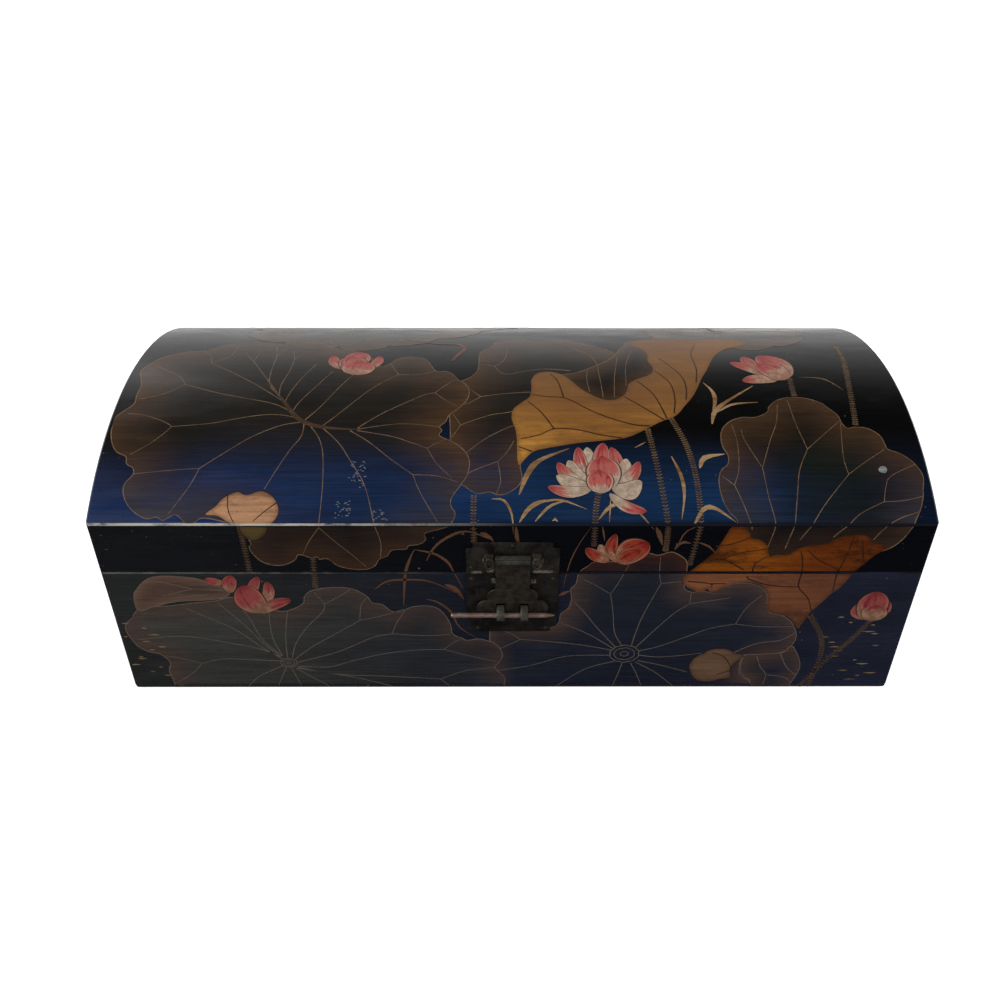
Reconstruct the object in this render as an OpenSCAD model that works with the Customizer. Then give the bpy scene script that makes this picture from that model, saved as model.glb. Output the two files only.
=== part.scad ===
// Dome-lidded lacquer chest with a hinged lid, a front hasp, two staples and a tapered lock pin.
// Millimetres. +X runs along the length, +Y to the back, +Z up. The origin is the middle of the underside.

/* [Chest] */
// Length of the chest
box_l = 460; // [380:5:560]
// Depth of the chest, front to back
box_d = 240; // [200:5:280]
// Height of the base, from the floor to the seam
base_h = 91; // [82:1:130]
// Height of the lid's straight wall, from the seam to the crease under the dome
lid_wall_h = 33; // [30:1:50]
// Rise of the dome above the crease
lid_rise = 38; // [28:1:50]

/* [Boards] */
// Thickness of the wall boards
wall_t = 9; // [8:0.5:11]
// Thickness of the bottom board
bottom_t = 7; // [6.5:0.5:10]
// Thickness of the domed top board
lid_top_t = 6; // [5:0.5:8]
// Open seam between base and lid
seam_gap = 0.2; // [0.1:0.05:0.4]
// Radius of the upright corners
corner_r = 3; // [2:0.5:5]
// Radius of the lower edges along the front and the back
foot_r = 1.5; // [1:0.5:4]
// Radius of the lower edges across the ends
foot_end_r = 5; // [3:0.5:6]
// Width of the eased edges along the seam
seam_ease = 0.6; // [0.3:0.1:1]
// Width of the eased edges of the dome
dome_ease = 1.2; // [0.6:0.1:2]
// Glue line between boards
glue = 0.05; // [0.03:0.01:0.1]

/* [Inner lip] */
// Thickness of the lip strips inside the base
lip_t = 3.5; // [3:0.5:5]
// How far the lip stands above the seam
lip_rise = 6; // [4:0.5:7]
// How far the lip reaches down inside the base
lip_drop = 12; // [9:0.5:14]
// Width of the lip's eased edges
lip_ease = 0.8; // [0.4:0.1:1.2]
// Clearance between the lip and the inside of the lid
lip_gap = 0.5; // [0.4:0.1:1]

/* [Lock plates] */
// Thickness of the lock plates
plate_t = 0.9; // [0.7:0.1:1.2]
// Width of the lock plates
plate_w = 51.6; // [50:0.2:56]
// Height of the lid's lock plate
lid_plate_h = 21.5; // [21:0.1:24]
// Height of the base's lock plate
base_plate_h = 43.4; // [41:0.2:48]
// Width of the step at a plate's outer corners
shoulder_w = 3.8; // [2:0.2:5]
// Height of the step at a plate's outer corners
shoulder_h = 3.8; // [2:0.2:5]

/* [Hasp] */
// Thickness of the hasp
hasp_t = 1.2; // [1:0.1:1.5]
// Outer radius of the hasp's rolled knuckle
knuckle_r = 2.6; // [2.4:0.1:2.8]
// Length of the hasp's knuckle
knuckle_l = 19.7; // [18:0.1:20]
// Radius of the hasp's hinge pin
hasp_pin_r = 1.2; // [1:0.05:1.25]
// Height of the riveted heads of the hasp's hinge pin
hasp_head_h = 0.8; // [0.5:0.1:1]
// How far those heads stand out round the pin
hasp_head_out = 0.7; // [0.5:0.1:1]
// Height of the hasp's hinge pin above the seam
hasp_pin_up = 12.8; // [12:0.1:13.4]
// Distance of the hasp's hinge pin from the plates
hasp_pin_off = 4.2; // [4.2:0.1:4.6]
// Width of the hasp's straight body
hasp_w = 19.2; // [18:0.2:19.6]
// Height of the small cloud lobes above the staples' centres
lobe_up = 10.1; // [9:0.1:11]
// Radius of the small cloud lobes
lobe_r = 5.4; // [5:0.1:6]
// Distance of the small cloud lobes from the middle
lobe_x = 9; // [8:0.1:10]
// Height of the large cloud lobes above the staples' centres
foot_lobe_up = 1.3; // [0.6:0.1:2]
// Radius of the large cloud lobes
foot_lobe_r = 6.2; // [5.9:0.1:6.6]
// Distance of the large cloud lobes from the middle
foot_lobe_x = 14.2; // [13:0.1:14.8]
// Width of the strip left round the slots
slot_web = 1.6; // [1.4:0.1:2]
// Width of the clipped corners of the hasp's foot
foot_clip = 1.4; // [1:0.1:1.8]

/* [Eyes and staples] */
// Outer radius of the eyes that carry the hasp
eye_r = 4.1; // [3.6:0.1:4.1]
// Width of the eyes
eye_w = 5.6; // [4:0.1:6]
// Thickness of each clenched leg of an eye or staple
leg_t = 1.4; // [1:0.1:1.6]
// Longest clenched end inside
clench_l = 8; // [5:0.5:9]
// Outer radius of the staples
staple_r = 4.5; // [4.4:0.1:4.8]
// Thickness of the staples' strap
staple_strap = 1.4; // [1:0.1:1.5]
// Width of the staples
staple_w = 4.3; // [3.5:0.1:4.6]
// Distance of each staple from the middle
staple_x = 6.7; // [6.4:0.1:7]
// Distance of the staples' centres below the seam
staple_down = 24.8; // [24:0.1:27]
// Distance of the staples' centres from the plate
staple_off = 5; // [4.9:0.1:5.4]
// Clearance round the staples in the hasp's slots
slot_gap = 0.45; // [0.4:0.05:0.6]
// Clearance round a leg in its hole
leg_gap = 0.1; // [0.05:0.05:0.2]

/* [Lock pin] */
// Radius of the lock pin
lock_pin_r = 1.45; // [1.2:0.05:1.5]
// Reach of the lock pin's blunt end to the left
lock_pin_left = 34.9; // [30:0.1:40]
// Reach of the lock pin's point to the right
lock_pin_right = 24; // [20:0.1:28]
// Length of the lock pin's taper
lock_pin_taper = 6; // [4:0.5:9]
// Radius of the lock pin's point
lock_pin_tip_r = 0.5; // [0.4:0.1:0.8]
// Width of the eased edge of the blunt end
lock_pin_ease = 0.3; // [0.2:0.1:0.5]

/* [Back hinges] */
// Distance of each back hinge from the middle
hinge_x = 130; // [90:5:150]
// Width of a back hinge
hinge_w = 39; // [33:1:50]
// Thickness of the hinge leaves
leaf_t = 1.2; // [1:0.1:1.5]
// Height of the lid's hinge leaf
lid_leaf_h = 21; // [18:0.5:24]
// Height of the base's hinge leaf
base_leaf_h = 25; // [20:0.5:30]
// Width of the clipped corners of the leaves
leaf_clip = 3; // [1:0.5:5]
// Outer radius of the hinge barrels
barrel_r = 3; // [2.8:0.1:3.4]
// Distance between a hinge barrel and the back board
barrel_gap = 0.4; // [0.3:0.05:0.5]
// Radius of the hinge pins
hinge_pin_r = 1.5; // [1.2:0.1:1.6]
// Radius of the heads of the hinge pins
hinge_head_r = 2.2; // [2:0.1:2.6]
// Height of the heads of the hinge pins
hinge_head_h = 1; // [0.6:0.1:1.5]

/* [Nails and dowels] */
// Radius of the brass nails' heads
nail_head_r = 1.3; // [1:0.1:1.5]
// Height of the brass nails' heads
nail_head_h = 0.6; // [0.4:0.1:0.8]
// Radius of the brass nails' shanks
nail_shank_r = 0.6; // [0.5:0.1:0.7]
// Length of the brass nails' shanks in the wood
nail_shank_l = 5; // [4:0.5:6]
// Length of the point of a nail
nail_point_l = 1.5; // [1:0.1:2]
// Radius of the tip of a nail
nail_tip_r = 0.15; // [0.1:0.05:0.3]
// Distance of a lock plate's nails from its sides
plate_nail_side = 3; // [2.6:0.1:3.6]
// Distance of a lock plate's nails from the seam
plate_nail_seam = 4; // [3.4:0.1:4.6]
// Distance of a lock plate's nails from its far edge
plate_nail_far = 2.5; // [2.2:0.1:2.8]
// Distance of a back hinge's nails from its edges
hinge_nail_in = 5; // [4:0.5:6]
// Radius of the blind bamboo dowels
dowel_r = 1.5; // [1.2:0.1:1.6]
// Depth of a dowel in the outer board
dowel_in = 4; // [3:0.5:4.5]
// Depth of a dowel in the board behind or above
dowel_out = 12; // [10:0.5:14]
// Share of a board's length over which its dowels are spread
dowel_spread = 0.86; // [0.8:0.02:0.9]
// Clearance round nails and dowels
hold_gap = 0.05; // [0.03:0.01:0.08]

/* [Fit] */
// Running clearance of a pin in its bore, on the radius
pin_gap = 0.05; // [0.03:0.01:0.08]
// Clearance beside a moving piece
side_gap = 0.35; // [0.3:0.05:0.5]

/* [Hidden] */
$fn = 96;
eps = 1;
hair = 0.02;
// Share of the dome's easing that lies below the crease, and how steeply it rises
crease_share = 0.6;
crease_slope = 1.93;
// How far a blind hole runs past its nail or dowel, and a shank into its head
hole_past = 0.1;
head_bite = 0.2;
// Gap under the heads of the hinge pins, and the share of the radius at their faces
head_gap = 0.1;
head_face = 0.6;
// Room between a clenched end and the nearest edge
clench_room = 1;
// How far the hasp's foot reaches past the strip beside its slots
foot_spare = 0.5;

seam_z = base_h;
lid_z = base_h + seam_gap;
crease_z = base_h + lid_wall_h;
top_z = crease_z + lid_rise;
lid_wall_t = wall_t - lip_gap;
arch_r = (lid_rise * lid_rise + box_d * box_d / 4) / (2 * lid_rise);
arch_z = top_z - arch_r;
arch_inner_r = arch_r - lid_top_t;
front_y = -box_d / 2;
back_y = box_d / 2;
inner_l = box_l - 2 * wall_t;
inner_d = box_d - 2 * wall_t;

plate_front_y = front_y - plate_t;
hasp_axis_y = plate_front_y - hasp_pin_off;
hasp_axis_z = seam_z + hasp_pin_up;
hasp_back_y = hasp_axis_y + knuckle_r - hair * 2;
staple_y = plate_front_y - staple_off;
staple_z = seam_z - staple_down;
staple_inner_r = staple_r - staple_strap;
slot_w = staple_w + 2 * slot_gap;
slot_h = 2 * (staple_r + slot_gap);
foot_half_w = staple_x + slot_w / 2 + slot_web + foot_spare;
hasp_foot_z = staple_z - slot_h / 2 - slot_web;
eye_x = knuckle_l / 2 + side_gap + eye_w / 2;
eye_outer_x = eye_x + eye_w / 2;
lid_inner_y = front_y + lid_wall_t;
base_inner_y = front_y + wall_t;
eye_clench_down = min(clench_l, hasp_axis_z - leg_t - seam_z - lip_rise - clench_room);
staple_clench_up = min(clench_l, seam_z - lip_drop - staple_z - leg_t - clench_room);
lock_pin_z = staple_z - (staple_inner_r - lock_pin_r - pin_gap);

hinge_axis_y = back_y + barrel_r + barrel_gap;
hinge_axis_z = seam_z + seam_gap / 2;
barrel_l = (hinge_w - 2 * side_gap) / 3;
notch = barrel_r + side_gap;

// Brass nails of the lock plates, as [x, z]
lid_nail_z = lid_z + plate_nail_seam;
side_nail_x = plate_w / 2 - plate_nail_side;
lid_plate_nail_spots = [
    [0, lid_z + lid_plate_h - plate_nail_far],
    [-side_nail_x, lid_nail_z],
    [side_nail_x, lid_nail_z]
];
low_nail_x = plate_w / 2 - shoulder_w - plate_nail_far;
low_nail_z = seam_z - base_plate_h + plate_nail_far;
base_plate_nail_spots = [
    [-side_nail_x, seam_z - plate_nail_seam],
    [side_nail_x, seam_z - plate_nail_seam],
    [-low_nail_x, low_nail_z],
    [low_nail_x, low_nail_z]
];
// Brass nails of the back hinges, as [x, z]
hinge_nail_x = hinge_w / 2 - hinge_nail_in;
hinge_base_nail_spots = [
    for (h = [-1, 1], s = [-1, 1])
        [h * hinge_x + s * hinge_nail_x, seam_z - base_leaf_h + hinge_nail_in]
];
hinge_lid_nail_spots = [
    for (h = [-1, 1], s = [-1, 1])
        [h * hinge_x + s * hinge_nail_x, lid_z + lid_leaf_h - hinge_nail_in]
];

// Upright dowels between the bottom board and the walls, as [x, y]
long_y = box_d / 2 - wall_t / 2;
end_x = box_l / 2 - wall_t / 2;
long_step = dowel_spread * box_l / 3;
end_step = dowel_spread * box_d / 3;
bottom_long_spots = [for (i = [-1.5:1.5], s = [-1, 1]) [i * long_step, s * long_y]];
bottom_end_spots = [for (i = [-1:1], s = [-1, 1]) [s * end_x, i * end_step]];
bottom_dowel_spots = concat(bottom_long_spots, bottom_end_spots);
// Heights of the level dowels at the corners
base_dowel_rows = [for (k = [0.25, 0.55, 0.85]) bottom_t + k * (base_h - bottom_t)];
lid_dowel_rows = [for (k = [0.2, 0.5]) lid_z + k * lid_wall_h];
// Upright dowels between the lid's walls and the dome, as [x, y]
lid_long_y = box_d / 2 - lid_wall_t / 2;
lid_end_x = box_l / 2 - lid_wall_t / 2;
dome_long_spots = [for (i = [-1.5:1.5], s = [-1, 1]) [i * long_step, s * lid_long_y]];
dome_end_spots = [for (i = [-1:1], s = [-1, 1]) [s * lid_end_x, i * end_step]];
dome_dowel_spots = concat(dome_long_spots, dome_end_spots);

function dome_under_z(y) = arch_z + sqrt(arch_inner_r * arch_inner_r - y * y);

// Shared shapes

// A block between two opposite corners
module block(lo, hi) {
    translate(lo)
        cube(hi - lo);
}

// A rectangle on the XY plane with round corners
module rounded_rectangle(l, d, r) {
    square([l - 2 * r, d], center = true);
    square([l, d - 2 * r], center = true);
    for (sx = [-1, 1], sy = [-1, 1])
        translate([sx * (l / 2 - r), sy * (d / 2 - r)])
            circle(r);
}

// The upright block of the whole chest between two heights
module upright(lo, hi) {
    translate([0, 0, lo])
        linear_extrude(hi - lo)
            rounded_rectangle(box_l, box_d, corner_r);
}

// An outline carried from front to back, and one carried from end to end
module through_depth() {
    rotate([90, 0, 0])
        linear_extrude(box_d + 2 * eps, center = true)
            children();
}

module through_length() {
    rotate([90, 0, 90])
        linear_extrude(box_l + 2 * eps, center = true)
            children();
}

// The underside's outline, rounded at both lower corners
module foot_outline(w, r) {
    translate([-w / 2, r - hair])
        square([w, bottom_t + eps]);
    translate([-w / 2 + r, -hair])
        square([w - 2 * r, r]);
    for (s = [-1, 1])
        translate([s * (w / 2 - r), r - hair])
            circle(r);
}

// A wall outline eased at the edge height; up is 1 when the wall stands above that edge
module eased_outline(w, edge, far, up) {
    polygon([
        [-w / 2, far + up * eps],
        [-w / 2, edge + up * seam_ease],
        [-w / 2 + seam_ease + eps, edge - up * eps],
        [w / 2 - seam_ease - eps, edge - up * eps],
        [w / 2, edge + up * seam_ease],
        [w / 2, far + up * eps]
    ]);
}

// The base's walls as one eased block
module base_block() {
    intersection() {
        upright(bottom_t + glue, base_h);
        through_depth()
            eased_outline(box_l + 2 * hair, base_h, 0, -1);
        through_length()
            eased_outline(box_d + 2 * hair, base_h, 0, -1);
    }
}

// The lid's walls as one eased block under the dome
module lid_block() {
    intersection() {
        upright(lid_z, top_z);
        through_depth()
            eased_outline(box_l + 2 * hair, lid_z, top_z, 1);
        through_length()
            eased_outline(box_d + 2 * hair, lid_z, top_z, 1);
        arch(arch_inner_r - glue, box_l + 2 * eps);
    }
}

// A cylinder along X about the dome's own axis
module arch(r, l) {
    translate([0, 0, arch_z])
        rotate([0, 90, 0])
            cylinder(r = r, h = l, center = true, $fn = 360);
}

// The dome's outer form, coned in slightly at both ends
module arch_eased() {
    cone_l = dome_ease + eps;
    arch(arch_r, box_l - 2 * dome_ease);
    for (s = [0, 180])
        rotate([0, 0, s])
            translate([box_l / 2 - dome_ease, 0, arch_z])
                rotate([0, 90, 0])
                    cylinder(r1 = arch_r, r2 = arch_r - cone_l, h = cone_l, $fn = 360);
}

// The outline that eases the crease between wall and dome
module crease_outline() {
    w = box_d + 2 * hair;
    low = crease_z - crease_share * dome_ease;
    high = low + crease_slope * dome_ease;
    polygon([
        [-w / 2, lid_z],
        [w / 2, lid_z],
        [w / 2, low],
        [w / 2 - dome_ease, high],
        [w / 2 - dome_ease, top_z + eps],
        [-w / 2 + dome_ease, top_z + eps],
        [-w / 2 + dome_ease, high],
        [-w / 2, low]
    ]);
}

// A lip strip's cross-section, measured inward and up from the seam
module lip_profile() {
    polygon([
        [0, -lip_drop],
        [lip_t, -lip_drop],
        [lip_t, lip_rise - lip_ease],
        [lip_t - lip_ease, lip_rise],
        [lip_ease, lip_rise],
        [0, lip_rise - lip_ease]
    ]);
}

// A lock plate's front view, standing on its seam edge
module plate_shape(h) {
    half = plate_w / 2;
    polygon([
        [-half, 0],
        [half, 0],
        [half, h - shoulder_h],
        [half - shoulder_w, h - shoulder_h],
        [half - shoulder_w, h],
        [-half + shoulder_w, h],
        [-half + shoulder_w, h - shoulder_h],
        [-half, h - shoulder_h]
    ]);
}

// A nail standing on the wood, its head above a plate of the given thickness
module nail(plate) {
    cap_r = (nail_head_r * nail_head_r + nail_head_h * nail_head_h) / (2 * nail_head_h);
    translate([0, 0, plate])
        rotate_extrude()
            intersection() {
                translate([0, nail_head_h - cap_r])
                    circle(cap_r);
                square([nail_head_r + eps, nail_head_h + eps]);
            }
    translate([0, 0, nail_point_l - nail_shank_l])
        cylinder(r = nail_shank_r, h = nail_shank_l - nail_point_l + plate + head_bite);
    translate([0, 0, -nail_shank_l])
        cylinder(r1 = nail_tip_r, r2 = nail_shank_r, h = nail_point_l);
}

module nail_hole() {
    translate([0, 0, -nail_shank_l - hole_past])
        cylinder(r = nail_shank_r + hold_gap, h = nail_shank_l + hole_past + 2 * eps);
}

// Places its child at spots [x, z] on the front or back, its +Z pointing outward
module on_front(spots) {
    for (s = spots)
        translate([s[0], front_y, s[1]])
            rotate([90, 0, 0])
                children();
}

module on_back(spots) {
    for (s = spots)
        translate([s[0], back_y, s[1]])
            rotate([-90, 0, 0])
                children();
}

// An upright dowel through a joint at the local origin, and its hole
module dowel(below, above) {
    translate([0, 0, -below])
        cylinder(r = dowel_r, h = below + above);
}

module dowel_hole(below, above) {
    translate([0, 0, -below - hole_past])
        cylinder(r = dowel_r + hold_gap, h = below + above + 2 * hole_past);
}

// Places its child at the joints between bottom board and walls
module at_bottom_dowels() {
    for (s = bottom_dowel_spots)
        translate([s[0], s[1], bottom_t])
            children();
}

// Places its child at the upright joints of the four corners, +Z pointing into the end boards
module at_corner_dowels(rows, x, face_y) {
    for (z = rows, sx = [-1, 1]) {
        translate([sx * x, -face_y, z])
            rotate([-90, 0, 0])
                children();
        translate([sx * x, face_y, z])
            rotate([90, 0, 0])
                children();
    }
}

// Places its child at the joints between the lid's walls and the dome
module at_dome_dowels() {
    for (s = dome_dowel_spots)
        translate([s[0], s[1], dome_under_z(s[1])])
            children();
}

// A ring head on a clenched double leg through the front, its axis along X
module ring_and_legs(x, y, z, r, w, inner_y, up, down) {
    translate([x, y, z])
        rotate([0, 90, 0])
            cylinder(r = r, h = w, center = true);
    block([x - w / 2, y, z - leg_t], [x + w / 2, inner_y + leg_t, z + leg_t]);
    block([x - w / 2, inner_y, z - leg_t - down], [x + w / 2, inner_y + leg_t, z + leg_t + up]);
}

module leg_hole(x, z, w, inner_y) {
    block(
        [x - w / 2 - leg_gap, plate_front_y - eps, z - leg_t - leg_gap],
        [x + w / 2 + leg_gap, inner_y + eps, z + leg_t + leg_gap]
    );
}

// A bar or bore along X
module along_x(x0, x1, y, z, r) {
    translate([x0, y, z])
        rotate([0, 90, 0])
            cylinder(r = r, h = x1 - x0);
}

// The base's boards and lip

module bottom_board() {
    color([0.06, 0.07, 0.10])
        difference() {
            intersection() {
                upright(0, bottom_t);
                through_depth()
                    foot_outline(box_l + 2 * hair, foot_end_r);
                through_length()
                    foot_outline(box_d + 2 * hair, foot_r);
            }
            at_bottom_dowels()
                dowel_hole(dowel_in, dowel_out);
        }
}

module base_front_board() {
    color([0.08, 0.12, 0.20])
        difference() {
            intersection() {
                base_block();
                block([-box_l, front_y - eps, 0], [box_l, base_inner_y, base_h + eps]);
            }
            at_bottom_dowels()
                dowel_hole(dowel_in, dowel_out);
            at_corner_dowels(base_dowel_rows, end_x, inner_d / 2)
                dowel_hole(dowel_in, dowel_out);
            for (s = [-1, 1])
                leg_hole(s * staple_x, staple_z, staple_w, base_inner_y);
            on_front(base_plate_nail_spots)
                nail_hole();
        }
}

module base_back_board() {
    color([0.06, 0.09, 0.13])
        difference() {
            intersection() {
                base_block();
                block([-box_l, back_y - wall_t, 0], [box_l, back_y + eps, base_h + eps]);
            }
            at_bottom_dowels()
                dowel_hole(dowel_in, dowel_out);
            at_corner_dowels(base_dowel_rows, end_x, inner_d / 2)
                dowel_hole(dowel_in, dowel_out);
            on_back(hinge_base_nail_spots)
                nail_hole();
        }
}

module base_end_board(side) {
    x = side * (box_l / 2 - wall_t / 2);
    difference() {
        intersection() {
            base_block();
            translate([x + side * eps / 2, 0, base_h / 2])
                cube([wall_t + eps, inner_d - 2 * glue, base_h + 2 * eps], center = true);
        }
        at_bottom_dowels()
            dowel_hole(dowel_in, dowel_out);
        at_corner_dowels(base_dowel_rows, end_x, inner_d / 2)
            dowel_hole(dowel_in, dowel_out);
    }
}

module base_left_board() {
    color([0.06, 0.10, 0.13])
        base_end_board(-1);
}

module base_right_board() {
    color([0.06, 0.09, 0.14])
        base_end_board(1);
}

module long_lip() {
    translate([0, -inner_d / 2 + glue, seam_z])
        rotate([90, 0, 90])
            linear_extrude(inner_l - 2 * glue, center = true)
                lip_profile();
}

module end_lip() {
    translate([-inner_l / 2 + glue, 0, seam_z])
        rotate([90, 0, 0])
            linear_extrude(inner_d - 2 * lip_t - 4 * glue, center = true)
                lip_profile();
}

module front_lip() {
    color([0.33, 0.07, 0.05])
        long_lip();
}

module back_lip() {
    color([0.33, 0.07, 0.05])
        mirror([0, 1, 0])
            long_lip();
}

module left_lip() {
    color([0.33, 0.07, 0.05])
        end_lip();
}

module right_lip() {
    color([0.33, 0.07, 0.05])
        mirror([1, 0, 0])
            end_lip();
}

module bottom_dowels() {
    color([0.74, 0.62, 0.38])
        at_bottom_dowels()
            dowel(dowel_in, dowel_out);
}

module base_corner_dowels() {
    color([0.74, 0.62, 0.38])
        at_corner_dowels(base_dowel_rows, end_x, inner_d / 2)
            dowel(dowel_in, dowel_out);
}

// The lid's boards

module lid_front_rail() {
    color([0.05, 0.07, 0.10])
        difference() {
            intersection() {
                lid_block();
                block([-box_l, front_y - eps, lid_z - eps], [box_l, lid_inner_y, top_z]);
            }
            at_dome_dowels()
                dowel_hole(dowel_out, dowel_in);
            at_corner_dowels(lid_dowel_rows, lid_end_x, -lid_inner_y)
                dowel_hole(dowel_in, dowel_out);
            for (s = [-1, 1])
                leg_hole(s * eye_x, hasp_axis_z, eye_w, lid_inner_y);
            on_front(lid_plate_nail_spots)
                nail_hole();
        }
}

module lid_back_rail() {
    color([0.05, 0.07, 0.10])
        difference() {
            intersection() {
                lid_block();
                block([-box_l, -lid_inner_y, lid_z - eps], [box_l, back_y + eps, top_z]);
            }
            at_dome_dowels()
                dowel_hole(dowel_out, dowel_in);
            at_corner_dowels(lid_dowel_rows, lid_end_x, -lid_inner_y)
                dowel_hole(dowel_in, dowel_out);
            on_back(hinge_lid_nail_spots)
                nail_hole();
        }
}

module lid_gable(side) {
    difference() {
        intersection() {
            lid_block();
            translate([side * (lid_end_x + eps / 2), 0, top_z / 2])
                cube([lid_wall_t + eps, -2 * lid_inner_y - 2 * glue, top_z + 2 * eps], center = true);
        }
        at_dome_dowels()
            dowel_hole(dowel_out, dowel_in);
        at_corner_dowels(lid_dowel_rows, lid_end_x, -lid_inner_y)
            dowel_hole(dowel_in, dowel_out);
    }
}

module lid_left_gable() {
    color([0.05, 0.08, 0.10])
        lid_gable(-1);
}

module lid_right_gable() {
    color([0.05, 0.07, 0.11])
        lid_gable(1);
}

module lid_dome_board() {
    color([0.07, 0.13, 0.26])
        difference() {
            intersection() {
                upright(lid_z, top_z + eps);
                arch_eased();
                through_length()
                    crease_outline();
            }
            arch(arch_inner_r, box_l + 2 * eps);
            at_dome_dowels()
                dowel_hole(dowel_out, dowel_in);
        }
}

module lid_corner_dowels() {
    color([0.74, 0.62, 0.38])
        at_corner_dowels(lid_dowel_rows, lid_end_x, -lid_inner_y)
            dowel(dowel_in, dowel_out);
}

module dome_dowels() {
    color([0.74, 0.62, 0.38])
        at_dome_dowels()
            dowel(dowel_out, dowel_in);
}

// The lock

module base_lock_plate() {
    color([0.30, 0.25, 0.15])
        difference() {
            translate([0, front_y, seam_z])
                mirror([0, 0, 1])
                    rotate([90, 0, 0])
                        linear_extrude(plate_t)
                            plate_shape(base_plate_h);
            for (s = [-1, 1])
                leg_hole(s * staple_x, staple_z, staple_w, base_inner_y);
            on_front(base_plate_nail_spots)
                nail_hole();
        }
}

module lid_lock_plate() {
    color([0.32, 0.27, 0.16])
        difference() {
            translate([0, front_y, lid_z])
                rotate([90, 0, 0])
                    linear_extrude(plate_t)
                        plate_shape(lid_plate_h);
            for (s = [-1, 1])
                leg_hole(s * eye_x, hasp_axis_z, eye_w, lid_inner_y);
            on_front(lid_plate_nail_spots)
                nail_hole();
        }
}

module base_plate_nails() {
    color([0.50, 0.40, 0.20])
        on_front(base_plate_nail_spots)
            nail(plate_t);
}

module lid_plate_nails() {
    color([0.50, 0.40, 0.20])
        on_front(lid_plate_nail_spots)
            nail(plate_t);
}

module staple(side) {
    x = side * staple_x;
    difference() {
        ring_and_legs(x, staple_y, staple_z, staple_r, staple_w, base_inner_y, staple_clench_up, clench_l);
        along_x(x - staple_w, x + staple_w, staple_y, staple_z, staple_inner_r);
    }
}

module left_staple() {
    color([0.44, 0.44, 0.36])
        staple(-1);
}

module right_staple() {
    color([0.44, 0.44, 0.36])
        staple(1);
}

module lock_pin() {
    taper_x = lock_pin_right - lock_pin_taper;
    color([0.68, 0.44, 0.36]) {
        along_x(-lock_pin_left + lock_pin_ease, taper_x, staple_y, lock_pin_z, lock_pin_r);
        translate([taper_x, staple_y, lock_pin_z])
            rotate([0, 90, 0])
                cylinder(r1 = lock_pin_r, r2 = lock_pin_tip_r, h = lock_pin_taper);
        translate([-lock_pin_left, staple_y, lock_pin_z])
            rotate([0, 90, 0])
                cylinder(r1 = lock_pin_r - lock_pin_ease, r2 = lock_pin_r, h = lock_pin_ease);
    }
}

module hasp_eye(side) {
    x = side * eye_x;
    difference() {
        ring_and_legs(x, hasp_axis_y, hasp_axis_z, eye_r, eye_w, lid_inner_y, clench_l, eye_clench_down);
        along_x(x - eye_w, x + eye_w, hasp_axis_y, hasp_axis_z, hasp_pin_r + pin_gap);
    }
}

module left_hasp_eye() {
    color([0.40, 0.38, 0.28])
        hasp_eye(-1);
}

module right_hasp_eye() {
    color([0.40, 0.38, 0.28])
        hasp_eye(1);
}

module hasp_hinge_pin() {
    half = eye_outer_x + head_gap;
    head_r = hasp_pin_r + hasp_head_out;
    color([0.45, 0.40, 0.26]) {
        along_x(-half, half, hasp_axis_y, hasp_axis_z, hasp_pin_r);
        for (s = [0, 180])
            translate([0, hasp_axis_y, hasp_axis_z])
                rotate([0, 0, s])
                    translate([half, 0, 0])
                        rotate([0, 90, 0])
                            cylinder(r1 = head_r, r2 = head_r * head_face, h = hasp_head_h);
    }
}

// The hasp's front view
module hasp_shape() {
    difference() {
        union() {
            translate([-hasp_w / 2, staple_z])
                square([hasp_w, hasp_axis_z - staple_z]);
            polygon([
                [-foot_half_w, staple_z],
                [-foot_half_w, hasp_foot_z + foot_clip],
                [-foot_half_w + foot_clip, hasp_foot_z],
                [foot_half_w - foot_clip, hasp_foot_z],
                [foot_half_w, hasp_foot_z + foot_clip],
                [foot_half_w, staple_z]
            ]);
            for (s = [-1, 1]) {
                translate([s * lobe_x, staple_z + lobe_up])
                    circle(lobe_r);
                translate([s * foot_lobe_x, staple_z + foot_lobe_up])
                    circle(foot_lobe_r);
            }
        }
        for (s = [-1, 1])
            translate([s * staple_x - slot_w / 2, staple_z - slot_h / 2])
                square([slot_w, slot_h]);
    }
}

module hasp() {
    color([0.24, 0.20, 0.13])
        difference() {
            union() {
                translate([0, hasp_back_y, 0])
                    rotate([90, 0, 0])
                        linear_extrude(hasp_t)
                            hasp_shape();
                along_x(-knuckle_l / 2, knuckle_l / 2, hasp_axis_y, hasp_axis_z, knuckle_r);
            }
            along_x(-knuckle_l, knuckle_l, hasp_axis_y, hasp_axis_z, hasp_pin_r + pin_gap);
        }
}

// The back hinges

module leaf_sheet() {
    translate([0, back_y + leaf_t, 0])
        rotate([90, 0, 0])
            linear_extrude(leaf_t)
                children();
}

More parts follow.
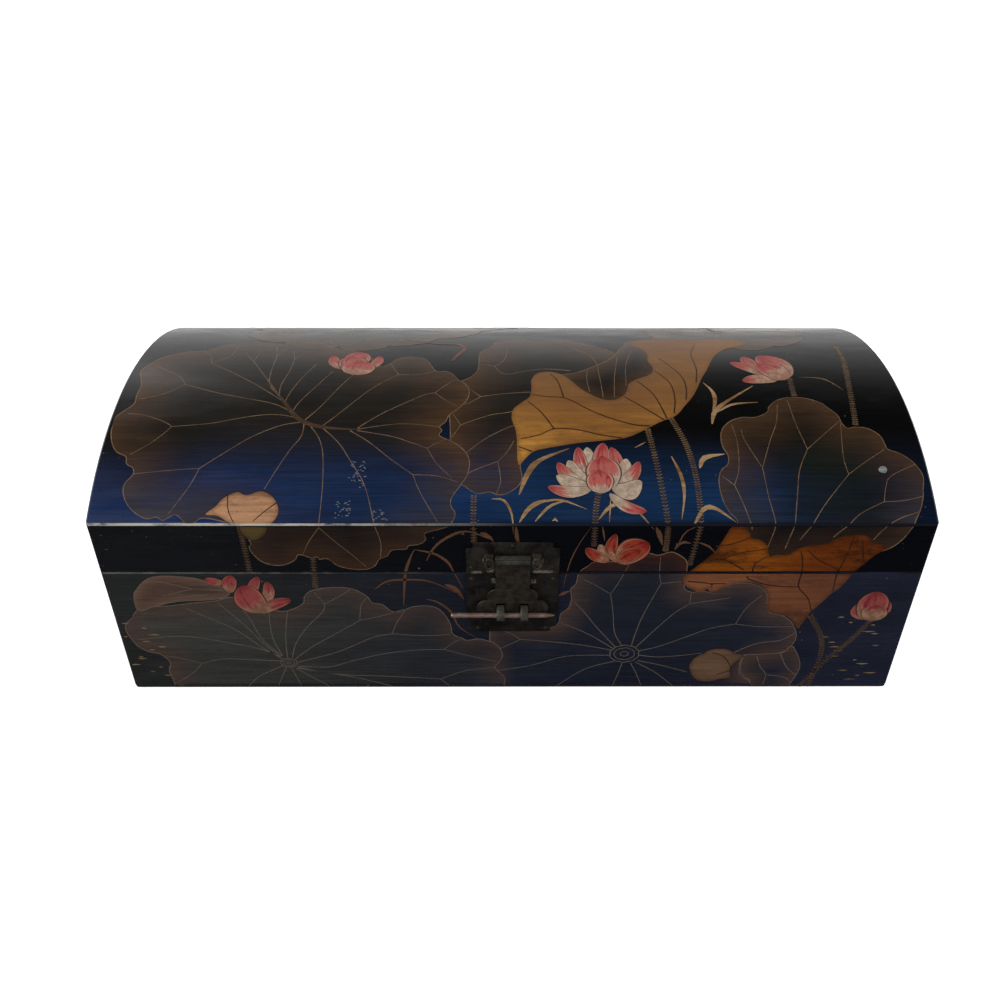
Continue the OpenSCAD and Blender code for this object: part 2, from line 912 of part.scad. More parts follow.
module hinge_base_leaf(x) {
    half = hinge_w / 2;
    low = seam_z - base_leaf_h;
    difference() {
        translate([x, 0, 0]) {
            leaf_sheet()
                polygon([
                    [-half, seam_z],
                    [-half, low + leaf_clip],
                    [-half + leaf_clip, low],
                    [half - leaf_clip, low],
                    [half, low + leaf_clip],
                    [half, seam_z],
                    [barrel_l / 2 + side_gap, seam_z],
                    [barrel_l / 2 + side_gap, hinge_axis_z - notch],
                    [-barrel_l / 2 - side_gap, hinge_axis_z - notch],
                    [-barrel_l / 2 - side_gap, seam_z]
                ]);
            along_x(-half, -barrel_l / 2 - side_gap, hinge_axis_y, hinge_axis_z, barrel_r);
            along_x(barrel_l / 2 + side_gap, half, hinge_axis_y, hinge_axis_z, barrel_r);
        }
        along_x(x - hinge_w, x + hinge_w, hinge_axis_y, hinge_axis_z, hinge_pin_r + pin_gap);
        on_back(hinge_base_nail_spots)
            nail_hole();
    }
}

module hinge_lid_leaf(x) {
    half = hinge_w / 2;
    high = lid_z + lid_leaf_h;
    difference() {
        translate([x, 0, 0]) {
            leaf_sheet()
                polygon([
                    [-half, hinge_axis_z + notch],
                    [-half, high - leaf_clip],
                    [-half + leaf_clip, high],
                    [half - leaf_clip, high],
                    [half, high - leaf_clip],
                    [half, hinge_axis_z + notch],
                    [barrel_l / 2, hinge_axis_z + notch],
                    [barrel_l / 2, lid_z],
                    [-barrel_l / 2, lid_z],
                    [-barrel_l / 2, hinge_axis_z + notch]
                ]);
            along_x(-barrel_l / 2, barrel_l / 2, hinge_axis_y, hinge_axis_z, barrel_r);
        }
        along_x(x - hinge_w, x + hinge_w, hinge_axis_y, hinge_axis_z, hinge_pin_r + pin_gap);
        on_back(hinge_lid_nail_spots)
            nail_hole();
    }
}

module hinge_pin(x) {
    half = hinge_w / 2 + head_gap;
    along_x(x - half, x + half, hinge_axis_y, hinge_axis_z, hinge_pin_r);
    for (s = [0, 180])
        translate([x, hinge_axis_y, hinge_axis_z])
            rotate([0, 0, s])
                translate([half, 0, 0])
                    rotate([0, 90, 0])
                        cylinder(r1 = hinge_head_r, r2 = hinge_head_r * head_face, h = hinge_head_h);
}

module left_hinge_base_leaf() {
    color([0.42, 0.35, 0.20])
        hinge_base_leaf(-hinge_x);
}

module left_hinge_lid_leaf() {
    color([0.42, 0.35, 0.20])
        hinge_lid_leaf(-hinge_x);
}

module left_hinge_pin() {
    color([0.50, 0.42, 0.25])
        hinge_pin(-hinge_x);
}

module right_hinge_base_leaf() {
    color([0.42, 0.35, 0.20])
        hinge_base_leaf(hinge_x);
}

module right_hinge_lid_leaf() {
    color([0.42, 0.35, 0.20])
        hinge_lid_leaf(hinge_x);
}

module right_hinge_pin() {
    color([0.50, 0.42, 0.25])
        hinge_pin(hinge_x);
}

module hinge_base_nails() {
    color([0.50, 0.40, 0.20])
        on_back(hinge_base_nail_spots)
            nail(leaf_t);
}

module hinge_lid_nails() {
    color([0.50, 0.40, 0.20])
        on_back(hinge_lid_nail_spots)
            nail(leaf_t);
}

bottom_board();
base_front_board();
base_back_board();
base_left_board();
base_right_board();
front_lip();
back_lip();
left_lip();
right_lip();
bottom_dowels();
base_corner_dowels();
base_lock_plate();
base_plate_nails();
left_staple();
right_staple();
lock_pin();
lid_front_rail();
lid_back_rail();
lid_left_gable();
lid_right_gable();
lid_dome_board();
lid_corner_dowels();
dome_dowels();
lid_lock_plate();
lid_plate_nails();
left_hasp_eye();
right_hasp_eye();
hasp_hinge_pin();
hasp();
left_hinge_base_leaf();
left_hinge_lid_leaf();
left_hinge_pin();
right_hinge_base_leaf();
right_hinge_lid_leaf();
right_hinge_pin();
hinge_base_nails();
hinge_lid_nails();
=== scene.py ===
# %% [markdown]
# # A lacquer chest with a lotus pond
#
# This lesson dresses a low wooden chest with a domed lid. Its boards, hinges and lock come from the
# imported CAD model, in metres, with the front towards -Y. What Blender adds is the finish: dark blue
# lacquer, a painted lotus pond, patinated brass, wear along the edges, and finer metalwork for the lock.
#
# Each step says what the piece is on the real object, how it could be made, and why it was made this
# way.

# %% Load the frame
import math
import random
import bmesh
import bpy
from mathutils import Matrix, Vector, kdtree


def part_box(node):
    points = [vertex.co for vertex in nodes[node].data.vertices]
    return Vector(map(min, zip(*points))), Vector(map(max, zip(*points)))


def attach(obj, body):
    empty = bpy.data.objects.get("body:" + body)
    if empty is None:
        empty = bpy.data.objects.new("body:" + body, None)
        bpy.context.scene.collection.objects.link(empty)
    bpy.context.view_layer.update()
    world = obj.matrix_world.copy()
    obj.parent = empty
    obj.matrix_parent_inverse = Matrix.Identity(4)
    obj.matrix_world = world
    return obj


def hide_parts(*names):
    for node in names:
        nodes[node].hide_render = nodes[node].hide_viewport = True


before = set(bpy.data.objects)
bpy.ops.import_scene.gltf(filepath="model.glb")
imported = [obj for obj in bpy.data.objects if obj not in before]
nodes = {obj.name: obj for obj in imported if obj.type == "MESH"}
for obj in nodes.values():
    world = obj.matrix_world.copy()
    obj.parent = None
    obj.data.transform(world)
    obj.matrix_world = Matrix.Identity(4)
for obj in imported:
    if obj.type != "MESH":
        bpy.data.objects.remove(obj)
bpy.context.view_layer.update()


# %% [markdown]
# ## The chest's own sizes
#
# Paint and wear have to sit exactly on the boards, so the script reads the boards' corners from the
# frame and works out the dome's circle from them. Only the dome's rise and the two roundings of the
# underside aren't in any box, so they are named here.

# %% Sizes from the frame
MM = 0.001
DOME_RISE = 38 * MM
FOOT_R = 1.5 * MM
FOOT_END_R = 5 * MM
high_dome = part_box("lid_dome_board")[1]
high_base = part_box("base_front_board")[1]
HALF_L = high_dome.x
HALF_D = high_dome.y
TOP = high_dome.z
SEAM = high_base.z
CREASE = TOP - DOME_RISE
ARCH_R = (DOME_RISE**2 + HALF_D**2) / (2 * DOME_RISE)
ARCH_Z = TOP - ARCH_R
print(f"half length {HALF_L:.4f}, half depth {HALF_D:.4f}, seam {SEAM:.4f}")
print(f"crease {CREASE:.4f}, dome radius {ARCH_R:.4f}")


# %% [markdown]
# ## Camera
#
# The photograph was taken from the front, a little over half a metre away and 35 degrees above level,
# with a wide lens that makes the chest narrow towards the floor. The place, turn and lens come from
# fitting the box's outline to the photograph. A camera can be turned by three angles or by its own three
# axes. The axes were chosen here, because a small roll is easy to add to them.

# %% Camera
CAMERA_PLACE = Vector((-0.0097, -0.5294, 0.4288))
CAMERA_YAW = math.radians(0.35)
CAMERA_PITCH = math.radians(35.15)
CAMERA_ROLL = math.radians(0.20)
LENS = 34.2


def camera_axes(yaw, pitch, roll):
    ahead = Vector((math.sin(yaw) * math.cos(pitch), math.cos(yaw) * math.cos(pitch), -math.sin(pitch)))
    right = ahead.cross(Vector((0, 0, 1))).normalized()
    up = right.cross(ahead)
    right_rolled = math.cos(roll) * right + math.sin(roll) * up
    up_rolled = -math.sin(roll) * right + math.cos(roll) * up
    return right_rolled, up_rolled, ahead


bpy.ops.object.select_all(action="DESELECT")
bpy.ops.object.camera_add(location=CAMERA_PLACE)
camera = bpy.context.object
camera.name = "photo_camera"
right_axis, up_axis, ahead_axis = camera_axes(CAMERA_YAW, CAMERA_PITCH, CAMERA_ROLL)
for row in range(3):
    camera.matrix_world[row][0] = right_axis[row]
    camera.matrix_world[row][1] = up_axis[row]
    camera.matrix_world[row][2] = -ahead_axis[row]
camera.data.lens = LENS
camera.data.sensor_width = 36
camera.data.clip_start = 0.01
bpy.context.scene.camera = camera
print("camera at", tuple(round(v, 4) for v in camera.location))


# %% [markdown]
# ## A few helpers for node materials
#
# A procedural finish is a small graph of nodes. Wiring it by hand takes many lines, so short helpers add
# one node each and return its output. Every pattern reads Object coordinates: the CAD pieces sit at the
# origin, so their Object coordinates are metres on the chest itself, and a stain can be put where the
# real one is.

# %% Start a material
def new_material(name, roughness, metallic=0.0, ior=1.45):
    material = bpy.data.materials.new(name)
    material.use_nodes = True
    shader = material.node_tree.nodes["Principled BSDF"]
    shader.inputs["Roughness"].default_value = roughness
    shader.inputs["Metallic"].default_value = metallic
    shader.inputs["IOR"].default_value = ior
    return material, material.node_tree, shader


def link(tree, source, target):
    tree.links.new(source, target)


def plug(tree, socket, value):
    if isinstance(value, bpy.types.NodeSocket):
        tree.links.new(value, socket)
    else:
        socket.default_value = value


def place(tree):
    return tree.nodes.new("ShaderNodeTexCoord").outputs["Object"]


# %% Numbers, masks and noise
def axis_of(tree, vector, axis):
    node = tree.nodes.new("ShaderNodeSeparateXYZ")
    link(tree, vector, node.inputs[0])
    return node.outputs[axis]


def maths(tree, operation, a, b=0.0, clamp=False):
    node = tree.nodes.new("ShaderNodeMath")
    node.operation = operation
    node.use_clamp = clamp
    plug(tree, node.inputs[0], a)
    plug(tree, node.inputs[1], b)
    return node.outputs[0]


def times(tree, *values):
    result = values[0]
    for value in values[1:]:
        result = maths(tree, "MULTIPLY", result, value)
    return result


def between(tree, value, low, high, start=0.0, end=1.0):
    node = tree.nodes.new("ShaderNodeMapRange")
    node.interpolation_type = "SMOOTHSTEP"
    plug(tree, node.inputs["Value"], value)
    node.inputs["From Min"].default_value = low
    node.inputs["From Max"].default_value = high
    node.inputs["To Min"].default_value = start
    node.inputs["To Max"].default_value = end
    return node.outputs[0]


def band(tree, value, middle, half, soft):
    away = maths(tree, "ABSOLUTE", maths(tree, "SUBTRACT", value, middle))
    return between(tree, away, half + soft, half)


def noise(tree, scale, stretch, detail, rough, shift=(0, 0, 0), vector=None):
    mapping = tree.nodes.new("ShaderNodeMapping")
    mapping.inputs["Scale"].default_value = stretch
    mapping.inputs["Location"].default_value = shift
    link(tree, vector or place(tree), mapping.inputs["Vector"])
    node = tree.nodes.new("ShaderNodeTexNoise")
    node.inputs["Scale"].default_value = scale
    node.inputs["Detail"].default_value = detail
    node.inputs["Roughness"].default_value = rough
    link(tree, mapping.outputs[0], node.inputs["Vector"])
    return node.outputs["Fac"]


# %% Colours and relief
def mix(tree, share, a, b):
    node = tree.nodes.new("ShaderNodeMix")
    node.data_type = "RGBA"
    plug(tree, node.inputs["Factor"], share)
    plug(tree, node.inputs["A"], a)
    plug(tree, node.inputs["B"], b)
    return node.outputs["Result"]


def mix_value(tree, share, a, b):
    node = tree.nodes.new("ShaderNodeMix")
    plug(tree, node.inputs["Factor"], share)
    plug(tree, node.inputs["A"], a)
    plug(tree, node.inputs["B"], b)
    return node.outputs["Result"]


def shade(tree, paint, level):
    node = tree.nodes.new("ShaderNodeVectorMath")
    node.operation = "SCALE"
    plug(tree, node.inputs[0], paint)
    plug(tree, node.inputs["Scale"], level)
    return node.outputs[0]


def attribute(tree, name):
    node = tree.nodes.new("ShaderNodeAttribute")
    node.attribute_name = name
    return node.outputs["Fac"]


def colour(r, g, b):
    def to_linear(c):
        c = c / 255
        return c / 12.92 if c <= 0.04045 else ((c + 0.055) / 1.055) ** 2.4
    return to_linear(r), to_linear(g), to_linear(b), 1.0


def bump(tree, shader, height, strength, distance):
    node = tree.nodes.new("ShaderNodeBump")
    node.inputs["Strength"].default_value = strength
    node.inputs["Distance"].default_value = distance
    link(tree, height, node.inputs["Height"])
    link(tree, node.outputs[0], shader.inputs["Normal"])


# %% [markdown]
# ## Floor, light and background
#
# The photograph shows the chest on plain white. A white floor would also fill the black lacquer with
# reflections from below, so floor and world answer each kind of ray differently: white for the camera, a
# bright horizon behind the chest that darkens upwards, sideways and towards the camera for reflections,
# as in a studio with a white backdrop, a dark ceiling and a dark room round the camera, and plain soft
# light for the rest. The floor still shows the soft shadow round the chest.

# %% World
PLAIN_SKY = 0.48
MIRRORED_SKY = 0.8


def build_world():
    world = bpy.data.worlds.new("white_backdrop")
    bpy.context.scene.world = world
    world.use_nodes = True
    tree = world.node_tree
    tree.nodes.clear()
    rays = tree.nodes.new("ShaderNodeLightPath")
    direction = tree.nodes.new("ShaderNodeTexCoord").outputs["Generated"]
    height = axis_of(tree, direction, 2)
    darker_right = between(tree, axis_of(tree, direction, 0), -0.25, 0.3, 1.0, 0.3)
    darker_front = between(tree, axis_of(tree, direction, 1), -0.3, 0.3, 0.3, 1.0)
    ceiling = times(tree, between(tree, height, 0.35, 0.85, 1.0, 0.12), darker_right)
    dim_overhead = mix_value(tree, between(tree, height, 0.3, 0.65), 1.0, ceiling)
    sideways = maths(tree, "ABSOLUTE", axis_of(tree, direction, 0))
    darker_sides = between(tree, sideways, 0.5, 0.85, 1.0, 0.4)
    dim_overhead = times(tree, dim_overhead, darker_front, darker_sides)
    strength = maths(tree, "MAXIMUM", rays.outputs["Is Camera Ray"], rays.outputs["Is Transmission Ray"])
    glossy = times(tree, rays.outputs["Is Glossy Ray"], dim_overhead, MIRRORED_SKY)
    plain = times(tree, maths(tree, "SUBTRACT", 1.0, rays.outputs["Is Glossy Ray"]), PLAIN_SKY)
    strength = maths(tree, "MAXIMUM", strength, maths(tree, "ADD", glossy, plain))
    light = tree.nodes.new("ShaderNodeBackground")
    light.inputs["Color"].default_value = (1, 1, 1, 1)
    link(tree, strength, light.inputs["Strength"])
    out = tree.nodes.new("ShaderNodeOutputWorld")
    link(tree, light.outputs[0], out.inputs["Surface"])


# %% Floor
FLOOR_GLOW = 0.72
MIRRORED_FLOOR_GLOW = 0.3


def build_floor():
    bpy.ops.object.select_all(action="DESELECT")
    bpy.ops.mesh.primitive_plane_add(size=8, location=(0, 0, 0))
    floor = bpy.context.object
    floor.name = "studio_floor"
    material, tree, shader = new_material("floor_white", roughness=0.9)
    rays = tree.nodes.new("ShaderNodeLightPath")
    pale = colour(214, 214, 212)
    behind = between(tree, axis_of(tree, place(tree), 1), 0.1, 0.5)
    mirrored = mix(tree, behind, colour(60, 60, 64), pale)
    link(tree, mix(tree, rays.outputs["Is Glossy Ray"], pale, mirrored), shader.inputs["Base Color"])
    shader.inputs["Specular IOR Level"].default_value = 0.0
    shader.inputs["Emission Color"].default_value = (1, 1, 1, 1)
    seen = times(tree, rays.outputs["Is Camera Ray"], FLOOR_GLOW)
    mirrored_glow = times(tree, rays.outputs["Is Glossy Ray"], behind, MIRRORED_FLOOR_GLOW)
    link(tree, maths(tree, "ADD", seen, mirrored_glow), shader.inputs["Emission Strength"])
    floor.data.materials.append(material)


# %% Lamps
def soft_lamp(name, place_at, size, power, mirrored):
    bpy.ops.object.select_all(action="DESELECT")
    bpy.ops.object.light_add(type="AREA", location=place_at)
    lamp = bpy.context.object
    lamp.name = name
    lamp.visible_glossy = mirrored
    lamp.data.size = size
    lamp.data.energy = power
    aim = Vector((0, 0, 0.08)) - Vector(place_at)
    lamp.rotation_euler = aim.to_track_quat("-Z", "Y").to_euler()
    print(f"{name}: {power} W, {size} m wide")


build_world()
build_floor()
soft_lamp("left_window", (-1.7, -0.8, 1.2), 2.2, 30, True)
soft_lamp("right_fill", (1.8, -0.7, 1.1), 1.2, 20, False)
soft_lamp("back_left_fill", (-1.9, 1.5, 1.2), 2.0, 15, True)
soft_lamp("back_right_fill", (2.0, 1.4, 1.2), 1.2, 17, False)


# %% [markdown]
# ## The lacquer ground
#
# Under the painting lies the ground: brushed lacquer, blue where the dome meets the walls and black
# above it, thin and greyish on the base, where the grey is partly the lacquer's own and partly a painted
# reflection of the pale floor. One function mixes that ground from the place on the chest. The boards
# use it, and the painted leaves use it again as their first layer, so a thin wash of brown lets the same
# blue show through without a visible join. Fine brush marks run along the boards.

# %% Lacquer ground
def lacquer_ground(tree, grain_stretch):
    where = place(tree)
    x = axis_of(tree, where, 0)
    z = axis_of(tree, where, 2)
    left = between(tree, x, 0.06, -0.20)
    far_right = between(tree, x, 0.10, 0.20)
    cloud = noise(tree, 7, (1, 1.5, 2), 4, 0.6, (3, 1, 2))
    level = maths(tree, "ADD", z, times(tree, maths(tree, "SUBTRACT", cloud, 0.5), 0.012))
    level = maths(tree, "ADD", level, between(tree, x, -0.04, 0.10, 0.0, 0.003))
    level = maths(tree, "ADD", level, between(tree, x, -0.15, -0.215, 0.0, 0.008))
    blue = mix(tree, left, colour(17, 41, 72), colour(14, 36, 76))
    blue = mix(tree, far_right, blue, colour(9, 18, 36))
    black = mix(tree, left, colour(6, 5, 5), colour(13, 11, 10))
    dome = mix(tree, between(tree, level, 0.136, 0.156), blue, black)
    low_edge = between(tree, z, CREASE + 2.4 * MM, CREASE + 0.4 * MM)
    low_edge = times(tree, low_edge, between(tree, x, -0.14, -0.04, 0.0, 0.7))
    dome = mix(tree, low_edge, dome, colour(9, 14, 25))
    wall = mix(tree, left, colour(5, 6, 12), colour(17, 18, 21))
    wall = mix(tree, far_right, wall, colour(3, 4, 9))
    # The greyish base front is partly the lacquer's own grey and partly a painted reflection of the floor.
    front = mix(tree, left, colour(25, 29, 43), colour(33, 34, 34))
    ground = mix(tree, between(tree, z, CREASE - 0.6 * MM, CREASE + 0.2 * MM), wall, dome)
    ground = mix(tree, between(tree, z, SEAM + 0.3 * MM, SEAM - 0.1 * MM), ground, front)
    patchy = between(tree, noise(tree, 30, (0.4, 1, 1), 4, 0.65, (7, 2, 5)), 0.25, 0.75, 0.72, 1.28)
    brushed = between(tree, noise(tree, 1100, grain_stretch, 2, 0.6), 0.3, 0.7, 0.8, 1.2)
    return shade(tree, ground, times(tree, patchy, brushed))


def lacquer_touch(tree, shader, grain_stretch):
    brushed = noise(tree, 900, grain_stretch, 3, 0.6)
    waves = noise(tree, 25, (0.4, 1, 1), 2, 0.5, (1, 8, 3))
    height = maths(tree, "ADD", brushed, times(tree, waves, 6))
    bump(tree, shader, height, 0.3, 0.00005)
    rubbed = noise(tree, 40, (0.3, 1, 1), 4, 0.7, (4, 4, 1))
    link(tree, between(tree, rubbed, 0.3, 0.75, 0.17, 0.36), shader.inputs["Roughness"])


# %% [markdown]
# ## Lacquered boards
#
# The boards themselves come from the CAD model, so only their finish is made here. Outside they carry
# the ground, with the edges that hands and dust rub: a line along the crease of the dome, pale at the
# left and dark at the right, and a thinner one along the seam. Inside they are plain red lacquer, as
# usual in such a chest. The rubbed lines are masks on the height, broken up by noise, so they follow the
# edges exactly.

# %% Inside and outside
WALL = 9 * MM
BOTTOM = 7 * MM
DOME_BOARD = 6 * MM
INNER_ARCH_R = ARCH_R - DOME_BOARD


def inner_share(tree, where):
    x = maths(tree, "ABSOLUTE", axis_of(tree, where, 0))
    y = maths(tree, "ABSOLUTE", axis_of(tree, where, 1))
    within_x = between(tree, x, HALF_L - WALL + 0.8 * MM, HALF_L - WALL + 0.6 * MM)
    within_y = between(tree, y, HALF_D - WALL + 0.8 * MM, HALF_D - WALL + 0.6 * MM)
    above = between(tree, axis_of(tree, where, 2), BOTTOM - 1.5 * MM, BOTTOM - 1.0 * MM)
    return times(tree, within_x, within_y, above)


def under_dome_share(tree, where):
    flat = tree.nodes.new("ShaderNodeVectorMath")
    flat.operation = "MULTIPLY_ADD"
    link(tree, where, flat.inputs[0])
    flat.inputs[1].default_value = (0, 1, 1)
    flat.inputs[2].default_value = (0, 0, -ARCH_Z)
    length = tree.nodes.new("ShaderNodeVectorMath")
    length.operation = "LENGTH"
    link(tree, flat.outputs[0], length.inputs[0])
    x = maths(tree, "ABSOLUTE", axis_of(tree, where, 0))
    y = maths(tree, "ABSOLUTE", axis_of(tree, where, 1))
    within_x = between(tree, x, HALF_L - 1.4 * MM, HALF_L - 1.8 * MM)
    within_y = between(tree, y, HALF_D - 2 * MM, HALF_D - 2.4 * MM)
    below = between(tree, length.outputs["Value"], INNER_ARCH_R + 0.6 * MM, INNER_ARCH_R + 0.3 * MM)
    return times(tree, below, within_x, within_y)


def red_lacquer(tree):
    worn = between(tree, noise(tree, 22, (1, 1, 1), 5, 0.7, (2, 6, 1)), 0.3, 0.8)
    return mix(tree, worn, colour(92, 24, 17), colour(58, 15, 12))


# %% Finish of the boards
def rubbed_edges(tree, ground, where):
    x = axis_of(tree, where, 0)
    z = axis_of(tree, where, 2)
    broken = noise(tree, 120, (0.5, 1, 1), 4, 0.75, (9, 3, 3))
    crease = band(tree, z, CREASE + 0.1 * MM, 0.4 * MM, 0.3 * MM)
    crease = times(tree, crease, between(tree, broken, 0.28, 0.56))
    left = between(tree, x, 0.02, -0.13)
    crease_paint = mix(tree, left, colour(14, 15, 22), colour(178, 172, 158))
    result = mix(tree, times(tree, crease, between(tree, left, 0, 1, 0.8, 0.95)), ground, crease_paint)
    seam = band(tree, z, SEAM - 0.2 * MM, 0.5 * MM, 0.3 * MM)
    seam_paint = mix(tree, left, colour(22, 11, 9), colour(84, 78, 72))
    away_x = maths(tree, "ABSOLUTE", x)
    away_y = maths(tree, "ABSOLUTE", axis_of(tree, where, 1))
    near_x = between(tree, away_x, HALF_L - 2.6 * MM, HALF_L - 1.0 * MM)
    near_y = between(tree, away_y, HALF_D - 2.6 * MM, HALF_D - 1.0 * MM)
    seam = times(tree, seam, maths(tree, "MAXIMUM", near_x, near_y))
    result = mix(tree, times(tree, seam, between(tree, broken, 0.4, 0.62), 0.75), result, seam_paint)
    foot = times(tree, between(tree, z, 2.4 * MM, 0.8 * MM), between(tree, broken, 0.3, 0.6), 0.8)
    result = mix(tree, foot, result, colour(70, 50, 36))
    specks = between(tree, noise(tree, 420, (1, 1, 1), 2, 0.5, (5, 5, 5)), 0.75, 0.77)
    return mix(tree, times(tree, specks, 0.5), result, colour(120, 118, 110))


def board_finish(name, grain_stretch, inside):
    material, tree, shader = new_material(name, roughness=0.28, ior=1.36)
    where = place(tree)
    ground = rubbed_edges(tree, lacquer_ground(tree, grain_stretch), where)
    link(tree, mix(tree, inside(tree, where), ground, red_lacquer(tree)), shader.inputs["Base Color"])
    lacquer_touch(tree, shader, grain_stretch)
    return material


def dress(material, *names):
    for name in names:
        nodes[name].data.materials.clear()
        nodes[name].data.materials.append(material)
    print(material.name, "on", ", ".join(names))


ALONG_X = (0.02, 1, 1)
ALONG_Y = (1, 0.02, 1)
dress(board_finish("dome_lacquer", ALONG_X, under_dome_share), "lid_dome_board")
long_lacquer = board_finish("long_board_lacquer", ALONG_X, inner_share)
dress(long_lacquer, "lid_front_rail", "lid_back_rail", "base_front_board", "base_back_board", "bottom_board")
end_lacquer = board_finish("end_board_lacquer", ALONG_Y, inner_share)
dress(end_lacquer, "lid_left_gable", "lid_right_gable", "base_left_board", "base_right_board")


# %% [markdown]
# ## A flat plan for the painting
#
# A painter works on the chest as if its skin were one sheet: the front wall, over the dome, and down the
# back. The pond is therefore drawn on a flat plan in millimetres, with u along the chest and v up the
# front from the floor, and each point is then laid on the wood by one function. Each mark is raised by
# the thickness of its paint, so marks cover one another in the order in which they were painted.
#
# Before it is laid, the plan is cut where the paint is rubbed off on the real chest: at the seam and
# along the crease. What lies below the seam belongs to the base, and the rest to the lid.

# %% From the plan to the chest
DOME_TURN = math.asin(HALF_D / ARCH_R)
PLAN_HEIGHT = 2 * (CREASE + DOME_TURN * ARCH_R)


def on_front(u, v, lift):
    side = -1
    if v > PLAN_HEIGHT / 2:
        v = PLAN_HEIGHT - v
        side = 1
    if v < FOOT_R:
        turn = (FOOT_R - v) / FOOT_R
        reach = FOOT_R + lift
        y = HALF_D - FOOT_R + reach * math.cos(turn)
        return Vector((u, side * y, FOOT_R - reach * math.sin(turn)))
    if v < CREASE:
        return Vector((u, side * (HALF_D + lift), v))
    turn = DOME_TURN - (v - CREASE) / ARCH_R
    reach = ARCH_R + lift
    return Vector((u, side * reach * math.sin(turn), ARCH_Z + reach * math.cos(turn)))


def on_left_end(u, v, lift):
    return Vector((-HALF_L - lift, -u, v))


def on_right_end(u, v, lift):
    return Vector((HALF_L + lift, u, v))


WORN = 1.0
PAINT_DEPTH = 0.3 * MM
PAINTED_HALF_LENGTH = 227.0
PAINTED_HALF_DEPTH = 112.0
plan_seam = SEAM / MM
plan_crease = CREASE / MM
plan_end = PLAN_HEIGHT / MM
front_bands = {
    "base": [(0.3, plan_seam - WORN), (plan_end - plan_seam + WORN, plan_end - 0.3)],
    "lid": [
        (plan_seam + WORN, plan_crease - WORN),
        (plan_crease + WORN, plan_end - plan_crease - WORN),
        (plan_end - plan_crease + WORN, plan_end - plan_seam - WORN),
    ],
}
LID_ONLY = {"lid": front_bands["lid"]}
BASE_ONLY = {"base": front_bands["base"]}
end_bands = {
    "base": [(FOOT_END_R / MM, plan_seam - WORN)],
    "lid": [(plan_seam + WORN, TOP / MM)],
}
print(f"plan: {2 * HALF_L / MM:.0f} mm along, {plan_end:.1f} mm from foot to foot")


# %% [markdown]
# ## Marks on the plan
#
# Three kinds of mark make the whole pond. Each is laid at the lift of its layer, in millimetres, so that
# what was painted later lies higher. A wash is a filled outline, cut into small cells so that it can
# follow the dome, and it remembers how far each point lies from its rim. A stroke is a narrow grid bent
# along a smooth path, wide or narrow as the brush was pressed. A petal is a grid bent to a pointed oval.
# All are drawn with bmesh, which is the same grid and cutting work as in edit mode, because hundreds of
# strokes would need hundreds of operator calls.

# %% Order of the layers
UNDER_LIFT = 0.015
LEAF_LIFT = 0.05
OVER_LIFT = 0.07
FOLD_LIFT = 0.075
GOLD_LIFT = 0.09
TOP_LEAF_LIFT = 0.10
STEM_LIFT = 0.10
GRASS_LIFT = 0.105
BLOSSOM_LIFT = 0.11
CHIP_LIFT = 0.12
PETAL_STEP = 0.012
LINE_STEP = 0.02
VEIN_STEP = 0.03
HEART_STEP = 0.025


# %% Smooth paths
def blend_four(a, b, c, d, t):
    square = 2 * a - 5 * b + 4 * c - d
    cube = 3 * b - a - 3 * c + d
    return 0.5 * (2 * b + (c - a) * t + square * t * t + cube * t**3)


def ring_value(values, share):
    where = (share % 1) * len(values)
    first = int(where) % len(values)
    four = [values[(first + step) % len(values)] for step in (-1, 0, 1, 2)]
    return blend_four(*four, where - int(where))


def path_point(points, share):
    where = min(max(share, 0), 0.99999) * (len(points) - 1)
    first = int(where)
    last = len(points) - 1
    four = [points[min(max(first + step, 0), last)] for step in (-1, 0, 1, 2)]
    return Vector([blend_four(*[p[axis] for p in four], where - first) for axis in (0, 1)])


def smooth_outline(points, steps=6):
    total = len(points) * steps
    us = [p[0] for p in points]
    vs = [p[1] for p in points]
    return [(ring_value(us, k / total), ring_value(vs, k / total)) for k in range(total)]


# %% Washes
def new_plan():
    plan = bmesh.new()
    plan.verts.layers.float.new("rim")
    plan.verts.layers.float.new("along")
    plan.verts.layers.float.new("across")
    plan.verts.layers.float.new("tint")
    return plan


def cut_lines(plan, faces, axis, lines):
    normal = Vector((1, 0, 0)) if axis == 0 else Vector((0, 1, 0))
    for line in lines:
        edges = list(dict.fromkeys(edge for face in faces for edge in face.edges))
        corners = list(dict.fromkeys(vert for face in faces for vert in face.verts))
        geometry = faces + edges + corners
        on_line = normal * line
        cut = bmesh.ops.bisect_plane(plan, geom=geometry, plane_co=on_line, plane_no=normal, dist=1e-4)
        faces = [item for item in cut["geom"] if isinstance(item, bmesh.types.BMFace)]
    return faces


def wash(plan, outline, lift, cell=4.0):
    verts = [plan.verts.new((u, v, lift)) for u, v in outline]
    face = plan.faces.new(verts)
    face.normal_update()
    faces = bmesh.ops.triangulate(plan, faces=[face])["faces"]
    for axis in (0, 1):
        low = min(p[axis] for p in outline)
        high = max(p[axis] for p in outline)
        count = int((high - low) / cell)
        lines = [low + (high - low) * (k + 1) / (count + 1) for k in range(count)]
        faces = cut_lines(plan, faces, axis, lines)
    tree = kdtree.KDTree(len(outline) * 4)
    for k in range(len(outline) * 4):
        point = outline[k // 4]
        following = outline[(k // 4 + 1) % len(outline)]
        part = (k % 4) / 4
        middle_u = point[0] * (1 - part) + following[0] * part
        middle_v = point[1] * (1 - part) + following[1] * part
        tree.insert((middle_u, middle_v, 0), k)
    tree.balance()
    rim = plan.verts.layers.float["rim"]
    for vert in {v for f in faces for v in f.verts}:
        vert[rim] = tree.find((vert.co.x, vert.co.y, 0))[2]


